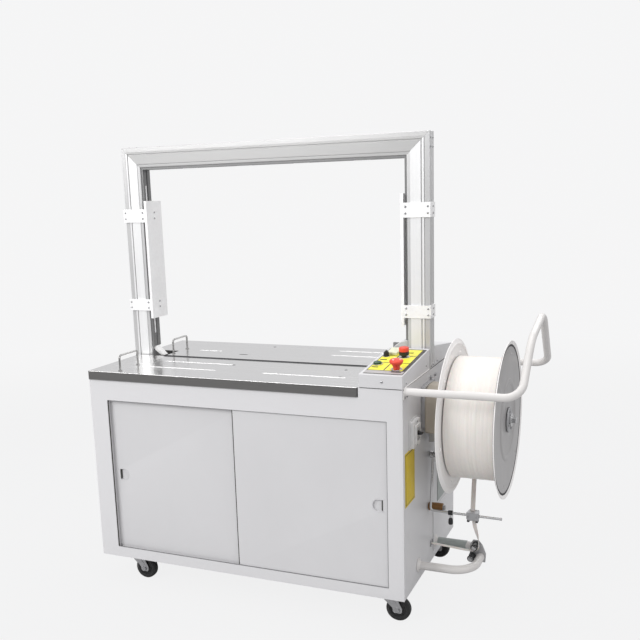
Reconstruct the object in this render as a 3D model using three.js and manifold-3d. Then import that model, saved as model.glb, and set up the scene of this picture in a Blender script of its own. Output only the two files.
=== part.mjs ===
// Arch strapping machine: a steel cabinet on casters, a two-plate table, an aluminium arch that
// carries the strap track, a sloped control console, and a strap reel with its guides on the right.
// Units are millimetres. X runs along the long front, Y runs to the back, Z is up, floor at Z = 0.

import * as THREE from 'three';
import { mergeVertices } from 'three/addons/utils/BufferGeometryUtils.js';
import Module from 'manifold-3d';

const wasm = await Module();
wasm.setup();

// ---------------------------------------------------------------- driving dimensions
const ORIGIN_X = 630.1;         // middle of the whole machine, in the layout's own X
const ORIGIN_Y = 300;          // middle of the whole machine, in the layout's own Y
const GAP = 0.4;               // play between two pieces that touch

const CAB_LEFT = -50;
const CAB_RIGHT = 1000;
const CAB_FRONT = 4;
const CAB_BACK = 600;
const CAB_BOTTOM = 87;
const CAB_TOP = 687;
const SHEET = 3;
const DOOR_LEFT = 13;          // sides of the door opening
const DOOR_RIGHT = 953;
const DOOR_BOTTOM = 121;
const DOOR_TOP = 622;
const DOOR_SPLIT = 464;        // leading edge of the right door
const DOOR_THICK = 7.5;

const TABLE_LEFT = -51;
const TABLE_RIGHT = 868;
const TABLE_Z = 716;           // working height
const TABLE_FOLD = 28;
const TABLE_BACK = 583;
const SLOT_FRONT = 287;        // strap slot between the two table plates
const SLOT_BACK = 300;

const CONSOLE_LEFT = 872;
const CONSOLE_BACK = 291.5;
const CONSOLE_LOW = 754;
const CONSOLE_HIGH = 780;
const REAR_COVER_LOW = 748;

const ARCH_WIDTH = 930;        // clear opening
const ARCH_HEIGHT = 640;
const LEG_WIDTH = 70;
const BEAM_HEIGHT = 66;
const ARCH_FRONT = 296;
const ARCH_BACK = 346;
const TRACK_THICK = 7;
const GUARD_BOTTOM = 845;
const GUARD_TOP = 1245;

const REEL_Y = 250;
const REEL_Z = 587;
const FLANGE_R = 232;
const ROLL_R = 182;
const CORE_R = 100;
const REEL_IN = 1087;          // cabinet side of the reel
const REEL_OUT = 1246;
const AXLE_R = 10;

const HANDLE_R = 11;
const HANDLE_END = 1318;
const HANDLE_TOP_X = 1323;
const HANDLE_LOW_Z = 700;
const HOOP_R = 12.5;
const HOOP_Z = 139;
const HOOP_END = 1164;

const ARM_PIVOT = [1010, 285, 448];
const ARM_BEND = [1012, 251, 279];
const ARM_END_X = 1231;
const ARM_R = 4;
const BLOCK_X = 1144;

const WHEEL_R = 37.5;
const WHEEL_WIDE = 24;
const TRAIL = 26;
const CASTER_X = [58, 940];
const CASTER_Y = [58, 532];

const ARCH_TOP = TABLE_Z + ARCH_HEIGHT;

// ---------------------------------------------------------------- materials
function finish(color, roughness, metalness) {
  return new THREE.MeshStandardMaterial({ color, roughness, metalness });
}
const paint = finish('#dcdbdd', 0.45, 0.0);
const whiteTube = finish('#e9e6e2', 0.35, 0.0);
const stainless = finish('#b9b8b6', 0.3, 0.9);
const aluminium = finish('#d5d5d4', 0.35, 0.8);
const trackSteel = finish('#7d7d7d', 0.45, 0.7);
const zinc = finish('#a9aaab', 0.4, 0.8);
const flangePaint = finish('#cfcdca', 0.4, 0.1);
const strapWhite = finish('#f3efe8', 0.5, 0.0);
const creamPaint = finish('#d9cfbf', 0.5, 0.0);
const yellowFilm = finish('#e9d438', 0.5, 0.0);
const redPlastic = finish('#d8432f', 0.35, 0.0);
const blackPlastic = finish('#17171a', 0.4, 0.0);
const greenPlastic = finish('#3d7a4a', 0.4, 0.0);
const whitePlastic = finish('#efefee', 0.4, 0.0);
const brownRubber = finish('#8a5a24', 0.7, 0.0);
const tyreRubber = finish('#1b1b1c', 0.75, 0.0);
const motorPaint = finish('#6f7f8a', 0.5, 0.2);
const beltRubber = finish('#202020', 0.8, 0.0);
const steel = finish('#8f9193', 0.35, 0.9);

// ---------------------------------------------------------------- solid modelling helpers
function toSolid(geometry) {
  const bare = geometry.index ? geometry.toNonIndexed() : geometry.clone();
  for (const key of Object.keys(bare.attributes)) {
    if (key !== 'position') bare.deleteAttribute(key);
  }
  const merged = mergeVertices(bare, 1e-4);
  const vertProperties = new Float32Array(merged.attributes.position.array);
  const triVerts = new Uint32Array(merged.index.array);
  if (signedVolume(vertProperties, triVerts) < 0) {
    for (let i = 0; i < triVerts.length; i += 3) {
      [triVerts[i + 1], triVerts[i + 2]] = [triVerts[i + 2], triVerts[i + 1]];
    }
  }
  return new wasm.Manifold(new wasm.Mesh({ numProp: 3, vertProperties, triVerts }));
}

function signedVolume(points, faces) {
  const a = new THREE.Vector3();
  const b = new THREE.Vector3();
  const c = new THREE.Vector3();
  let sum = 0;
  for (let i = 0; i < faces.length; i += 3) {
    a.fromArray(points, faces[i] * 3);
    b.fromArray(points, faces[i + 1] * 3);
    c.fromArray(points, faces[i + 2] * 3);
    sum += a.dot(b.cross(c));
  }
  return sum;
}

function fromSolid(solid) {
  const mesh = solid.getMesh();
  const count = mesh.vertProperties.length / mesh.numProp;
  const position = new Float32Array(count * 3);
  for (let i = 0; i < count; i += 1) {
    for (let k = 0; k < 3; k += 1) {
      position[i * 3 + k] = mesh.vertProperties[i * mesh.numProp + k];
    }
  }
  const geometry = new THREE.BufferGeometry();
  geometry.setAttribute('position', new THREE.BufferAttribute(position, 3));
  geometry.setIndex(Array.from(mesh.triVerts));
  const flat = geometry.toNonIndexed();
  flat.computeVertexNormals();
  return flat;
}

function join(...geometries) {
  const solids = geometries.map(toSolid);
  return fromSolid(solids.slice(1).reduce((sum, next) => sum.add(next), solids[0]));
}

function cut(base, ...tools) {
  const solids = tools.map(toSolid);
  return fromSolid(solids.reduce((rest, tool) => rest.subtract(tool), toSolid(base)));
}

function box(x0, x1, y0, y1, z0, z1) {
  const geometry = new THREE.BoxGeometry(x1 - x0, y1 - y0, z1 - z0);
  return geometry.translate((x0 + x1) / 2, (y0 + y1) / 2, (z0 + z1) / 2);
}

// A cylinder along one axis from start to end; the centre gives the other two coordinates in order.
function rod(axis, radius, start, end, centre, sides = 24) {
  const geometry = new THREE.CylinderGeometry(radius, radius, end - start, sides);
  const middle = (start + end) / 2;
  if (axis === 'x') return geometry.rotateZ(-Math.PI / 2).translate(middle, centre[0], centre[1]);
  if (axis === 'y') return geometry.translate(centre[0], middle, centre[1]);
  return geometry.rotateX(Math.PI / 2).translate(centre[0], centre[1], middle);
}

// A flat outline pushed along one axis; its points give the other two coordinates in order.
function prism(axis, points, start, end) {
  const shape = new THREE.Shape(points.map((p) => new THREE.Vector2(p[0], p[1])));
  const geometry = new THREE.ExtrudeGeometry(shape, { depth: end - start, bevelEnabled: false });
  const place = new THREE.Matrix4();
  if (axis === 'x') place.set(0, 0, 1, start, 1, 0, 0, 0, 0, 1, 0, 0, 0, 0, 0, 1);
  if (axis === 'y') place.set(1, 0, 0, 0, 0, 0, 1, start, 0, 1, 0, 0, 0, 0, 0, 1);
  if (axis === 'z') place.makeTranslation(0, 0, start);
  return fromSolid(toSolid(geometry.applyMatrix4(place)));
}

// A body turned about the X axis through a centre, from a profile of [x, radius] points.
function turnedX(profile, centre, sides = 32) {
  const points = profile.map((p) => new THREE.Vector2(p[1], p[0]));
  const geometry = new THREE.LatheGeometry(points, sides);
  return geometry.rotateZ(-Math.PI / 2).translate(0, centre[0], centre[1]);
}

function ringX(outer, inner, x0, x1, centre, sides = 32) {
  const profile = [[x0, inner], [x0, outer], [x1, outer], [x1, inner], [x0, inner]];
  return turnedX(profile, centre, sides);
}

// A route of straight runs whose inner corners are rounded with arcs, each of its own radius.
function roundedRoute(corners, radii, arcSteps = 5) {
  const points = corners.map((c) => new THREE.Vector3(...c));
  const route = [points[0]];
  for (let i = 1; i < points.length - 1; i += 1) {
    const radius = radii[i - 1];
    const back = points[i - 1].clone().sub(points[i]);
    const ahead = points[i + 1].clone().sub(points[i]);
    const half = back.angleTo(ahead) / 2;
    const reach = radius / Math.tan(half);
    const start = points[i].clone().addScaledVector(back.normalize(), reach);
    const end = points[i].clone().addScaledVector(ahead.normalize(), reach);
    const middle = back.add(ahead).normalize();
    const centre = points[i].clone().addScaledVector(middle, radius / Math.sin(half));
    const from = start.clone().sub(centre);
    const to = end.clone().sub(centre);
    const sweep = from.angleTo(to);
    for (let k = 0; k <= arcSteps; k += 1) {
      const t = (sweep * k) / arcSteps;
      const spoke = from.clone().multiplyScalar(Math.sin(sweep - t) / Math.sin(sweep));
      spoke.addScaledVector(to, Math.sin(t) / Math.sin(sweep));
      route.push(centre.clone().add(spoke));
    }
  }
  route.push(points[points.length - 1]);
  return route;
}

// A curve that visits exactly the given points, so a sweep has one ring at each of them.
class PointRoute extends THREE.Curve {
  constructor(points) {
    super();
    this.points = points;
  }

  getPoint(t, target = new THREE.Vector3()) {
    const along = t * (this.points.length - 1);
    const i = Math.min(Math.floor(along), this.points.length - 2);
    return target.copy(this.points[i]).lerp(this.points[i + 1], along - i);
  }

  getPointAt(u, target) {
    return this.getPoint(u, target);
  }

  getSpacedPoints() {
    return this.points.map((p) => p.clone());
  }

  getTangentAt(u, target = new THREE.Vector3()) {
    const last = this.points.length - 1;
    const i = Math.round(u * last);
    const before = this.points[Math.max(i - 1, 0)];
    const after = this.points[Math.min(i + 1, last)];
    const here = this.points[i];
    target.set(0, 0, 0);
    if (i > 0) target.add(here.clone().sub(before).normalize());
    if (i < last) target.add(after.clone().sub(here).normalize());
    return target.normalize();
  }
}

function tube(points, radius, sides = 12) {
  const outline = [];
  for (let i = 0; i < sides; i += 1) {
    const angle = (2 * Math.PI * i) / sides;
    outline.push(new THREE.Vector2(radius * Math.cos(angle), radius * Math.sin(angle)));
  }
  const extrudePath = new PointRoute(points);
  const settings = { steps: points.length - 1, bevelEnabled: false, extrudePath };
  return fromSolid(toSolid(new THREE.ExtrudeGeometry(new THREE.Shape(outline), settings)));
}

// A flat strap through the given points; each point has the direction of the strap's width.
function ribbon(stations, width, thick) {
  const steps = stations.length - 1;
  const geometry = new THREE.BoxGeometry(1, 1, 1, 1, 1, steps);
  const position = geometry.attributes.position;
  const here = new THREE.Vector3();
  for (let i = 0; i < position.count; i += 1) {
    const k = Math.round((position.getZ(i) + 0.5) * steps);
    const centre = new THREE.Vector3(...stations[k].at);
    const ahead = new THREE.Vector3(...stations[Math.min(k + 1, steps)].at);
    ahead.sub(new THREE.Vector3(...stations[Math.max(k - 1, 0)].at)).normalize();
    const across = new THREE.Vector3(...stations[k].across).normalize();
    const normal = ahead.clone().cross(across).normalize();
    here.copy(centre).addScaledVector(across, position.getX(i) * width);
    here.addScaledVector(normal, position.getY(i) * thick);
    position.setXYZ(i, here.x, here.y, here.z);
  }
  return fromSolid(toSolid(geometry));
}

// ---------------------------------------------------------------- assembly
const machine = new THREE.Group();
machine.position.set(-ORIGIN_X, -ORIGIN_Y, 0);

function add(name, geometry, material, parent = machine) {
  const mesh = new THREE.Mesh(geometry, material);
  mesh.name = name;
  parent.add(mesh);
  return mesh;
}

function buildCabinet() {
  const front = CAB_FRONT + SHEET;
  const face = join(
    box(CAB_LEFT, CAB_RIGHT, CAB_FRONT, front, CAB_BOTTOM, CAB_TOP),
    box(CONSOLE_LEFT - 2, CAB_RIGHT, CAB_FRONT, front, CAB_TOP - 1, TABLE_Z),
  );
  const opening = box(DOOR_LEFT, DOOR_RIGHT, 0, 20, DOOR_BOTTOM, DOOR_TOP);
  const rails = [];
  for (const [low, high, lipLow, lipHigh] of [[107, 110, 109, 118], [634, 637, 626, 635]]) {
    rails.push(box(CAB_LEFT + 6, CAB_RIGHT - 6, front - 1, 28.5, low, high));
    rails.push(box(CAB_LEFT + 6, CAB_RIGHT - 6, 16.6, 18, lipLow, lipHigh));
    rails.push(box(CAB_LEFT + 6, CAB_RIGHT - 6, 26.5, 28.5, lipLow, lipHigh));
  }
  add('cabinet_front_frame', join(cut(face, opening), ...rails), paint);

  const inside = front + GAP;
  const left = box(CAB_LEFT, CAB_LEFT + SHEET, inside, CAB_BACK - SHEET - GAP, CAB_BOTTOM, 654.6);
  add('cabinet_left_panel', left, paint);
  const right = box(CAB_RIGHT - SHEET, CAB_RIGHT, inside, CAB_BACK - SHEET - GAP, CAB_BOTTOM, TABLE_Z);
  add('cabinet_right_panel', right, paint);
  const rear = join(
    box(CAB_LEFT, CAB_RIGHT, CAB_BACK - SHEET, CAB_BACK, CAB_BOTTOM, CAB_TOP),
    box(CONSOLE_LEFT, CAB_RIGHT, CAB_BACK - SHEET, CAB_BACK, CAB_TOP - 1, TABLE_Z),
  );
  const vents = [];
  for (let i = 0; i < 6; i += 1) vents.push(box(160, 300, 590, 610, 480 + i * 22, 488 + i * 22));
  add('cabinet_rear_panel', cut(rear, ...vents), paint);

  const pads = [];
  for (const x of CASTER_X) {
    for (const y of CASTER_Y) pads.push(box(x - 30, x + 30, y - 30, y + 30, CAB_BOTTOM - 3, CAB_BOTTOM + 1));
  }
  const floor = box(
    CAB_LEFT + SHEET + GAP, CAB_RIGHT - SHEET - GAP, inside, CAB_BACK - SHEET - GAP, CAB_BOTTOM, CAB_BOTTOM + 4,
  );
  add('cabinet_floor', join(floor, ...pads), paint);

  const ringBack = CAB_BACK - SHEET - GAP;
  const ring = cut(
    box(TABLE_LEFT + 4, CAB_RIGHT - SHEET - GAP, inside, ringBack, 655, CAB_TOP),
    box(CAB_LEFT + 24, 320, 48, 560, 640, 700),
    box(350, 590, 48, 560, 640, 700),
    box(620, 960, 48, 560, 640, 700),
    box(300, 640, 283 - GAP, 303 + GAP, 660 - GAP, 700),
  );
  const legPost = box(ARCH_WIDTH + 4, CAB_RIGHT - SHEET - GAP, ARCH_FRONT + 2, ARCH_BACK - 2, 686, TABLE_Z);
  add('table_frame', join(ring, legPost), paint);
}

function buildDoors() {
  const low = 112;
  const high = 624.5;
  const rightDoor = [DOOR_SPLIT, DOOR_RIGHT + 10, 8.5, 8.5 + DOOR_THICK];
  const leftDoor = [DOOR_LEFT - 10, DOOR_SPLIT + 26, 18.5, 18.5 + DOOR_THICK];
  const doors = { left_door: [leftDoor, 48], right_door: [rightDoor, 922] };
  for (const [name, [side, pullX]] of Object.entries(doors)) {
    const [x0, x1, y0, y1] = side;
    const slab = box(x0, x1, y0, y1, low, high);
    const recess = box(x0 + 3, x1 - 3, y0 + 2.5, y1 + 5, low + 3, high - 3);
    const cup = box(pullX - 24, pullX + 24, y0 + 1, y1 - 0.5, 345, 397);
    const grip = rod('y', 18, y0 - 5, y0 + 5, [pullX, 371], 20);
    add(name, cut(join(cut(slab, recess), cup), grip), paint);
  }
}

function tray(x0, x1, y0, y1) {
  const skin = box(x0, x1, y0, y1, TABLE_Z - TABLE_FOLD, TABLE_Z);
  return cut(skin, box(x0 + SHEET, x1 - SHEET, y0 + SHEET, y1 - SHEET, 600, TABLE_Z - SHEET));
}

function wireHandle(x, y0, y1) {
  const corners = [[x, y0, TABLE_Z + GAP], [x, y0, 765], [x, y1, 765], [x, y1, TABLE_Z + GAP]];
  return tube(roundedRoute(corners, [9, 9], 3), 3.2, 8);
}

function buildTable() {
  add('front_table_plate', tray(TABLE_LEFT, TABLE_RIGHT, 0, SLOT_FRONT), stainless);
  const rear = tray(TABLE_LEFT, TABLE_RIGHT, SLOT_BACK, TABLE_BACK);
  const legNotch = box(TABLE_LEFT - 5, 56, SLOT_BACK - 5, 386, 600, 800);
  const fingerSlot = box(304, 336, 370, 378, 700, 720);
  add('rear_table_plate', cut(rear, legNotch, fingerSlot), stainless);
  add('front_table_handle', wireHandle(57, 26, 125), stainless);
  add('rear_table_handle', wireHandle(66, 332, 425), stainless);
  const channel = cut(
    box(60, 860, 283, 303, 660, 687.4 - GAP),
    box(50, 870, 287, 299, 668, 700),
  );
  add('slot_channel', channel, trackSteel);
}

const SLOPE = Math.atan((CONSOLE_HIGH - CONSOLE_LOW) / (CONSOLE_BACK - CAB_FRONT));
const CONTROLS = {
  estop: { x: 967, along: 55, hole: 9 },
  feed: { x: 952, along: 180, hole: 9 },
  start: { x: 898, along: 94, hole: 9 },
  mode: { x: 897, along: 181, hole: 5 },
};

function buildConsole() {
  const outline = [
    [CAB_FRONT, TABLE_Z + GAP], [CONSOLE_BACK, TABLE_Z + GAP],
    [CONSOLE_BACK, CONSOLE_HIGH], [CAB_FRONT, CONSOLE_LOW],
  ];
  const inner = [
    [CAB_FRONT + SHEET, TABLE_Z - 5], [CONSOLE_BACK - SHEET, TABLE_Z - 5],
    [CONSOLE_BACK - SHEET, CONSOLE_HIGH - SHEET], [CAB_FRONT + SHEET, CONSOLE_LOW - SHEET],
  ];
  const desk = new THREE.Group();
  desk.position.set(0, CAB_FRONT, CONSOLE_LOW);
  desk.rotation.x = SLOPE;
  machine.add(desk);
  desk.updateMatrix();

  const holes = Object.values(CONTROLS).map((c) => rod('z', c.hole, -20, 20, [c.x, c.along], 16));
  const shell = prism('x', outline, CONSOLE_LEFT, CAB_RIGHT);
  const hollow = prism('x', inner, CONSOLE_LEFT + SHEET, CAB_RIGHT - SHEET);
  const drills = holes.map((h) => h.clone().applyMatrix4(desk.matrix));
  add('console_cover', cut(shell, hollow, ...drills), paint);

  const plate = box(CONSOLE_LEFT + 10, CAB_RIGHT - 4, 12, 268, GAP, 1.8);
  add('control_plate', cut(plate, ...holes), yellowFilm, desk);

  const { estop, feed, start, mode } = CONTROLS;
  const mushroom = new THREE.LatheGeometry(
    [[0, -12], [8, -12], [8, 12], [13, 15], [18, 21], [20, 27], [17, 32], [9, 34], [0, 34.5]]
      .map((p) => new THREE.Vector2(p[0], p[1])),
    24,
  ).rotateX(Math.PI / 2);
  add('estop_button', mushroom.translate(estop.x, estop.along, 0), redPlastic, desk);
  const capTop = join(
    rod('z', 8, -12, 8, [feed.x, feed.along], 20),
    rod('z', 15, 7, 33, [feed.x, feed.along], 20),
  );
  add('feed_button', capTop, blackPlastic, desk);
  const flush = join(
    rod('z', 8, -12, 6, [start.x, start.along], 20),
    rod('z', 12, 5, 12, [start.x, start.along], 20),
  );
  add('start_button', flush, greenPlastic, desk);
  const knob = join(
    rod('z', 4, -12, 4, [mode.x, mode.along], 12),
    rod('z', 8, 3, 16, [mode.x, mode.along], 16),
    box(mode.x - 2, mode.x + 2, mode.along - 8, mode.along + 8, 15, 20),
  );
  add('mode_selector', knob, blackPlastic, desk);

  const back = CAB_BACK - 3;
  const rearOutline = [
    [ARCH_BACK + 3, TABLE_Z + GAP], [back, TABLE_Z + GAP], [back, REAR_COVER_LOW],
    [ARCH_BACK + 3, CONSOLE_HIGH],
  ];
  const rearInner = [
    [ARCH_BACK + 6, TABLE_Z - 5], [back - SHEET, TABLE_Z - 5], [back - SHEET, REAR_COVER_LOW - SHEET],
    [ARCH_BACK + 6, CONSOLE_HIGH - SHEET],
  ];
  const cover = cut(
    prism('x', rearOutline, CONSOLE_LEFT, CAB_RIGHT),
    prism('x', rearInner, CONSOLE_LEFT + SHEET, CAB_RIGHT - SHEET),
  );
  add('rear_cover', cover, paint);
}

// Leg section from its outer side (0) to its inner side (LEG_WIDTH), front at depth 0.
function legSection() {
  const depth = ARCH_BACK - ARCH_FRONT;
  return [
    [0, 3], [17, 3], [17, 0], [23, 0], [23, 2], [27, 2], [27, 0], [60, 0], [60, 2], [LEG_WIDTH, 2],
    [LEG_WIDTH, depth], [0, depth],
  ];
}

function buildArch() {
  const top = ARCH_TOP + BEAM_HEIGHT;
  const feet = { left: CAB_TOP + GAP, right: TABLE_Z + GAP };
  const rise = BEAM_HEIGHT / LEG_WIDTH;
  const joint = 1.5 * GAP;
  const over = 20;
  const legs = { left: 1, right: -1 };
  for (const [side, way] of Object.entries(legs)) {
    const innerX = side === 'left' ? 0 : ARCH_WIDTH;
    const section = legSection().map(([u, v]) => [innerX + way * (u - LEG_WIDTH), ARCH_FRONT + v]);
    const column = prism('z', section, feet[side], top);
    const mitre = prism('y', [
      [innerX + way * over, ARCH_TOP - over * rise], [innerX - way * (LEG_WIDTH + over), top + over * rise],
      [innerX + way * over, top + over * rise],
    ], ARCH_FRONT - over, ARCH_BACK + over);
    add(`arch_${side}_leg`, cut(column, mitre), aluminium);
  }
  const beamSection = legSection().map(([u, v]) => [ARCH_FRONT + v, top - u * rise]);
  const beam = prism('x', beamSection, -LEG_WIDTH, ARCH_WIDTH + LEG_WIDTH);
  const cuts = [];
  for (const [innerX, way] of [[0, 1], [ARCH_WIDTH, -1]]) {
    cuts.push(prism('y', [
      [innerX + way * over, ARCH_TOP - over * rise + joint],
      [innerX - way * (LEG_WIDTH + over), top + over * rise + joint],
      [innerX - way * (LEG_WIDTH + over), ARCH_TOP - over * rise + joint],
    ], ARCH_FRONT - over, ARCH_BACK + over));
  }
  add('arch_top_beam', cut(beam, ...cuts), aluminium);

  const near = GAP;
  const deep = GAP + TRACK_THICK;
  const ends = { left: 745, right: 802 };
  const track = [
    [near, ends.left], [deep, ends.left], [deep, ARCH_TOP - deep], [ARCH_WIDTH - deep, ARCH_TOP - deep],
    [ARCH_WIDTH - deep, ends.right], [ARCH_WIDTH - near, ends.right], [ARCH_WIDTH - near, ARCH_TOP - near],
    [near, ARCH_TOP - near],
  ];
  add('strap_track', prism('y', track, 303, 345), trackSteel);

  const leftChute = [[near, 744.6], [8, 744.6], [40, 713], [28, 713], [near, 733]];
  add('left_strap_chute', prism('y', leftChute, 305, 343), whitePlastic);
  const w = ARCH_WIDTH;
  const rightChute = [
    [w - near, 801.6], [w - 8, 801.6], [w - 30, 793], [w - 50, 778], [w - 53, 762], [w - 53, 700], [w - near, 700],
  ];
  add('right_strap_chute', prism('y', rightChute, 298, 344), zinc);
}

function buildGuards() {
  const sides = { left: [0, 1], right: [ARCH_WIDTH, -1] };
  for (const [side, [innerX, way]] of Object.entries(sides)) {
    const at = (u0, u1, y0, y1, z0, z1) => {
      const a = innerX + way * u0;
      const b = innerX + way * u1;
      return box(Math.min(a, b), Math.max(a, b), y0, y1, z0, z1);
    };
    const pieces = [
      at(16.5, 19, 292, 384, GUARD_BOTTOM, GUARD_TOP),
      at(9.5, 18, 292, 294.5, GUARD_BOTTOM, GUARD_TOP),
      at(9.5, 18, 381.5, 384, GUARD_BOTTOM, GUARD_TOP),
    ];
    for (const [low, high] of [[872, 911], [1174, 1218]]) {
      pieces.push(at(-LEG_WIDTH - 3.5, 18, 291.5, 295.5, low, high));
      pieces.push(at(-LEG_WIDTH - 3.5, -LEG_WIDTH - 0.5, 291.5, ARCH_BACK, low, high));
    }
    add(`${side}_guard`, join(...pieces), zinc);
  }
}

function buildReel() {
  const axis = [REEL_Y, REEL_Z];
  const housing = join(
    box(1014, 1078, 185, 315, 544, 684),
    rod('x', 45, CAB_RIGHT + GAP, 1022, axis, 24),
  );
  add('reel_brake_housing', cut(housing, rod('x', AXLE_R + GAP, 1010, 1100, axis)), creamPaint);
  const shaft = join(
    rod('x', AXLE_R, 1011, 1270, axis, 20),
    rod('x', 16, 1078 + GAP, REEL_IN - GAP, axis, 20),
  );
  add('reel_axle', shaft, steel);
  const bore = AXLE_R + GAP;
  const inner = turnedX([
    [REEL_IN, bore], [REEL_IN, FLANGE_R - 6], [REEL_IN - 5, FLANGE_R], [REEL_IN - 2, FLANGE_R],
    [REEL_IN + 3, FLANGE_R - 6], [REEL_IN + 3, CORE_R - 1], [REEL_OUT - 4, CORE_R - 1],
    [REEL_OUT - 4, CORE_R - 4], [REEL_IN + 3, CORE_R - 4], [REEL_IN + 3, bore], [REEL_IN, bore],
  ], axis, 48);
  add('reel_inner_flange', inner, flangePaint);
  const outer = turnedX([
    [REEL_OUT - 3, bore], [REEL_OUT - 3, FLANGE_R - 6], [REEL_OUT + 2, FLANGE_R], [REEL_OUT + 5, FLANGE_R],
    [REEL_OUT, FLANGE_R - 6], [REEL_OUT, bore], [REEL_OUT - 3, bore],
  ], axis, 48);
  add('reel_outer_flange', outer, flangePaint);
  add('strap_roll', ringX(ROLL_R, CORE_R, REEL_IN + 3.5, REEL_OUT - 3.5, axis, 40), strapWhite);
  add('reel_nut', ringX(38, bore, REEL_OUT + GAP, REEL_OUT + 12, axis, 24), steel);
}

function buildHandles() {
  const back = 548;
  const near = HANDLE_LOW_Z + 8;
  const grip = roundedRoute([
    [CAB_RIGHT + GAP, 20, near], [HANDLE_END, 20, near],
    [HANDLE_TOP_X, 150, 845], [HANDLE_TOP_X, 365, 888],
    [HANDLE_END, back, HANDLE_LOW_Z], [CAB_RIGHT + GAP, back, HANDLE_LOW_Z],
  ], [48, 120, 95, 44]);
  const collars = [
    box(CAB_RIGHT + GAP, CAB_RIGHT + 4, 6, 44, 684, 714),
    box(CAB_RIGHT + GAP, CAB_RIGHT + 4, back - 20, back + 20, 680, 714),
  ];
  add('push_handle', join(tube(grip, HANDLE_R, 12), ...collars), whiteTube);

  const hoop = roundedRoute([
    [CAB_RIGHT + GAP, 150, HOOP_Z], [HOOP_END, 150, HOOP_Z], [HOOP_END, 345, HOOP_Z],
    [CAB_RIGHT + GAP, 345, HOOP_Z],
  ], [70, 70], 6);
  const guides = { lower: [1139.5, 141], upper: [1150, 178] };
  const plate = [
    box(1130, HOOP_END, 268, 272, 128, 192),
    rod('y', 4, 234, 269, guides.lower, 12),
    rod('y', 4, 234, 269, guides.upper, 12),
  ];
  add('lower_hoop', join(tube(hoop, HOOP_R, 12), ...plate), whiteTube);
  for (const [name, at] of Object.entries(guides)) {
    const spool = cut(rod('y', 10.5, 238, 266, at, 20), rod('y', 4.3, 230, 270, at, 12));
    add(`${name}_guide_roller`, spool, blackPlastic);
  }
}

function buildDancer() {
  const [px, py, pz] = ARM_PIVOT;
  const [bx, by, bz] = ARM_BEND;
  const wire = roundedRoute([[px + 1, py, pz], [bx, by, bz], [ARM_END_X, by, bz - 3]], [9], 4);
  const hub = rod('x', 9, CAB_RIGHT + GAP, px + 8, [py, pz], 16);
  const collar = rod('x', 8, 1066, 1082, [by, bz - 1], 12);
  const thumb = rod('z', 7, 240, bz - 5, [1075, by], 12);
  add('dancer_arm', join(tube(wire, ARM_R, 10), hub, collar, thumb), steel);
  const block = cut(
    box(BLOCK_X - 17, BLOCK_X + 17, by - 10, by + 20, 262, 290),
    rod('x', ARM_R + 0.6, BLOCK_X - 30, BLOCK_X + 30, [by, bz - 2], 16),
    box(BLOCK_X - 8, BLOCK_X + 8, by + 9, by + 13, 250, 300),
  );
  add('guide_block', block, zinc);
  const stop = join(
    rod('x', 13, CAB_RIGHT + GAP, 1046, [274, 283], 20),
    rod('x', 8, 1045, 1054, [274, 283], 6),
  );
  add('arm_stop', stop, brownRubber);

  const alongX = [1, 0, 0];
  const upper = [
    [1118, 433.5, 586], [1118, 431, 545], [1119, 418, 490], [1124, 376, 420], [1133, 312, 342], [1141, 262, 291],
  ].map((at) => ({ at, across: alongX }));
  add('strap_upper', ribbon(upper, 14, 1.6), strapWhite);
  const lower = [
    { at: [1144, 262, 261], across: alongX },
    { at: [1149, 260, 240], across: [1, -0.2, 0] },
    { at: [1156, 256, 216], across: [0.8, -0.6, 0] },
    { at: [1161.5, 252, 196], across: [0.2, -1, 0] },
    { at: [1162.8, 251, 178], across: [0, -1, 0] },
    { at: [1159.4, 251, 169], across: [0, -1, 0] },
    { at: [1150, 251, 165], across: [0, -1, 0] },
    { at: [1120, 258, 161], across: [0, -1, 0] },
    { at: [CAB_RIGHT + 1, 300, 150], across: [0, -1, 0] },
  ];
  add('strap_lower', ribbon(lower, 13, 1.6), strapWhite);
}

function buildBreaker() {
  const body = box(CAB_RIGHT + GAP, 1018, 66, 136, 529, 608);
  add('breaker_body', cut(body, box(1006, 1030, 88, 116, 549, 587)), whitePlastic);
  const lever = join(
    rod('y', 5, 90, 114, [1013, 568], 12),
    box(1013, 1030, 94, 110, 565, 571),
  );
  add('breaker_lever', lever, blackPlastic);
}

function buildCaster(name, x, y, wayX, wayY) {
  const axleX = x + wayX;
  const axleY = y + wayY;
  const caster = new THREE.Group();
  caster.position.set(axleX, axleY, 0);
  machine.add(caster);
  const half = WHEEL_WIDE / 2;
  const cheek = (y0) => prism('y', [
    [-12, WHEEL_R - 10], [12, WHEEL_R - 10], [15, WHEEL_R + 4], [-wayX + 22, 79], [-wayX - 22, 79],
    [-15, WHEEL_R + 4],
  ], y0, y0 + 2.5);
  const fork = join(
    cheek(-half - 4.5), cheek(half + 2),
    box(-wayX - 22, -wayX + 22, -half - 4.5, half + 4.5, 77, 80.5),
    rod('z', 24, 80, CAB_BOTTOM - 3 - GAP, [-wayX, -wayY], 24),
    rod('y', 4, -half - 6, half + 6, [0, WHEEL_R], 12),
  );
  add(`${name}_caster_fork`, fork, zinc, caster);
  const tyre = new THREE.LatheGeometry([
    [4.3, -half], [WHEEL_R - 6, -half], [WHEEL_R - 2, -half + 1], [WHEEL_R, -half + 5],
    [WHEEL_R, half - 5], [WHEEL_R - 2, half - 1], [WHEEL_R - 6, half], [4.3, half], [4.3, -half],
  ].map((p) => new THREE.Vector2(p[0], p[1])), 36);
  add(`${name}_caster_wheel`, tyre.translate(0, 0, WHEEL_R), tyreRubber, caster);
}

function buildCasters() {
  const names = [['front_left', 0, 0], ['front_right', 1, 0], ['rear_left', 0, 1], ['rear_right', 1, 1]];
  for (const [name, i, j] of names) buildCaster(name, CASTER_X[i], CASTER_Y[j], TRAIL, 0);
}

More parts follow.
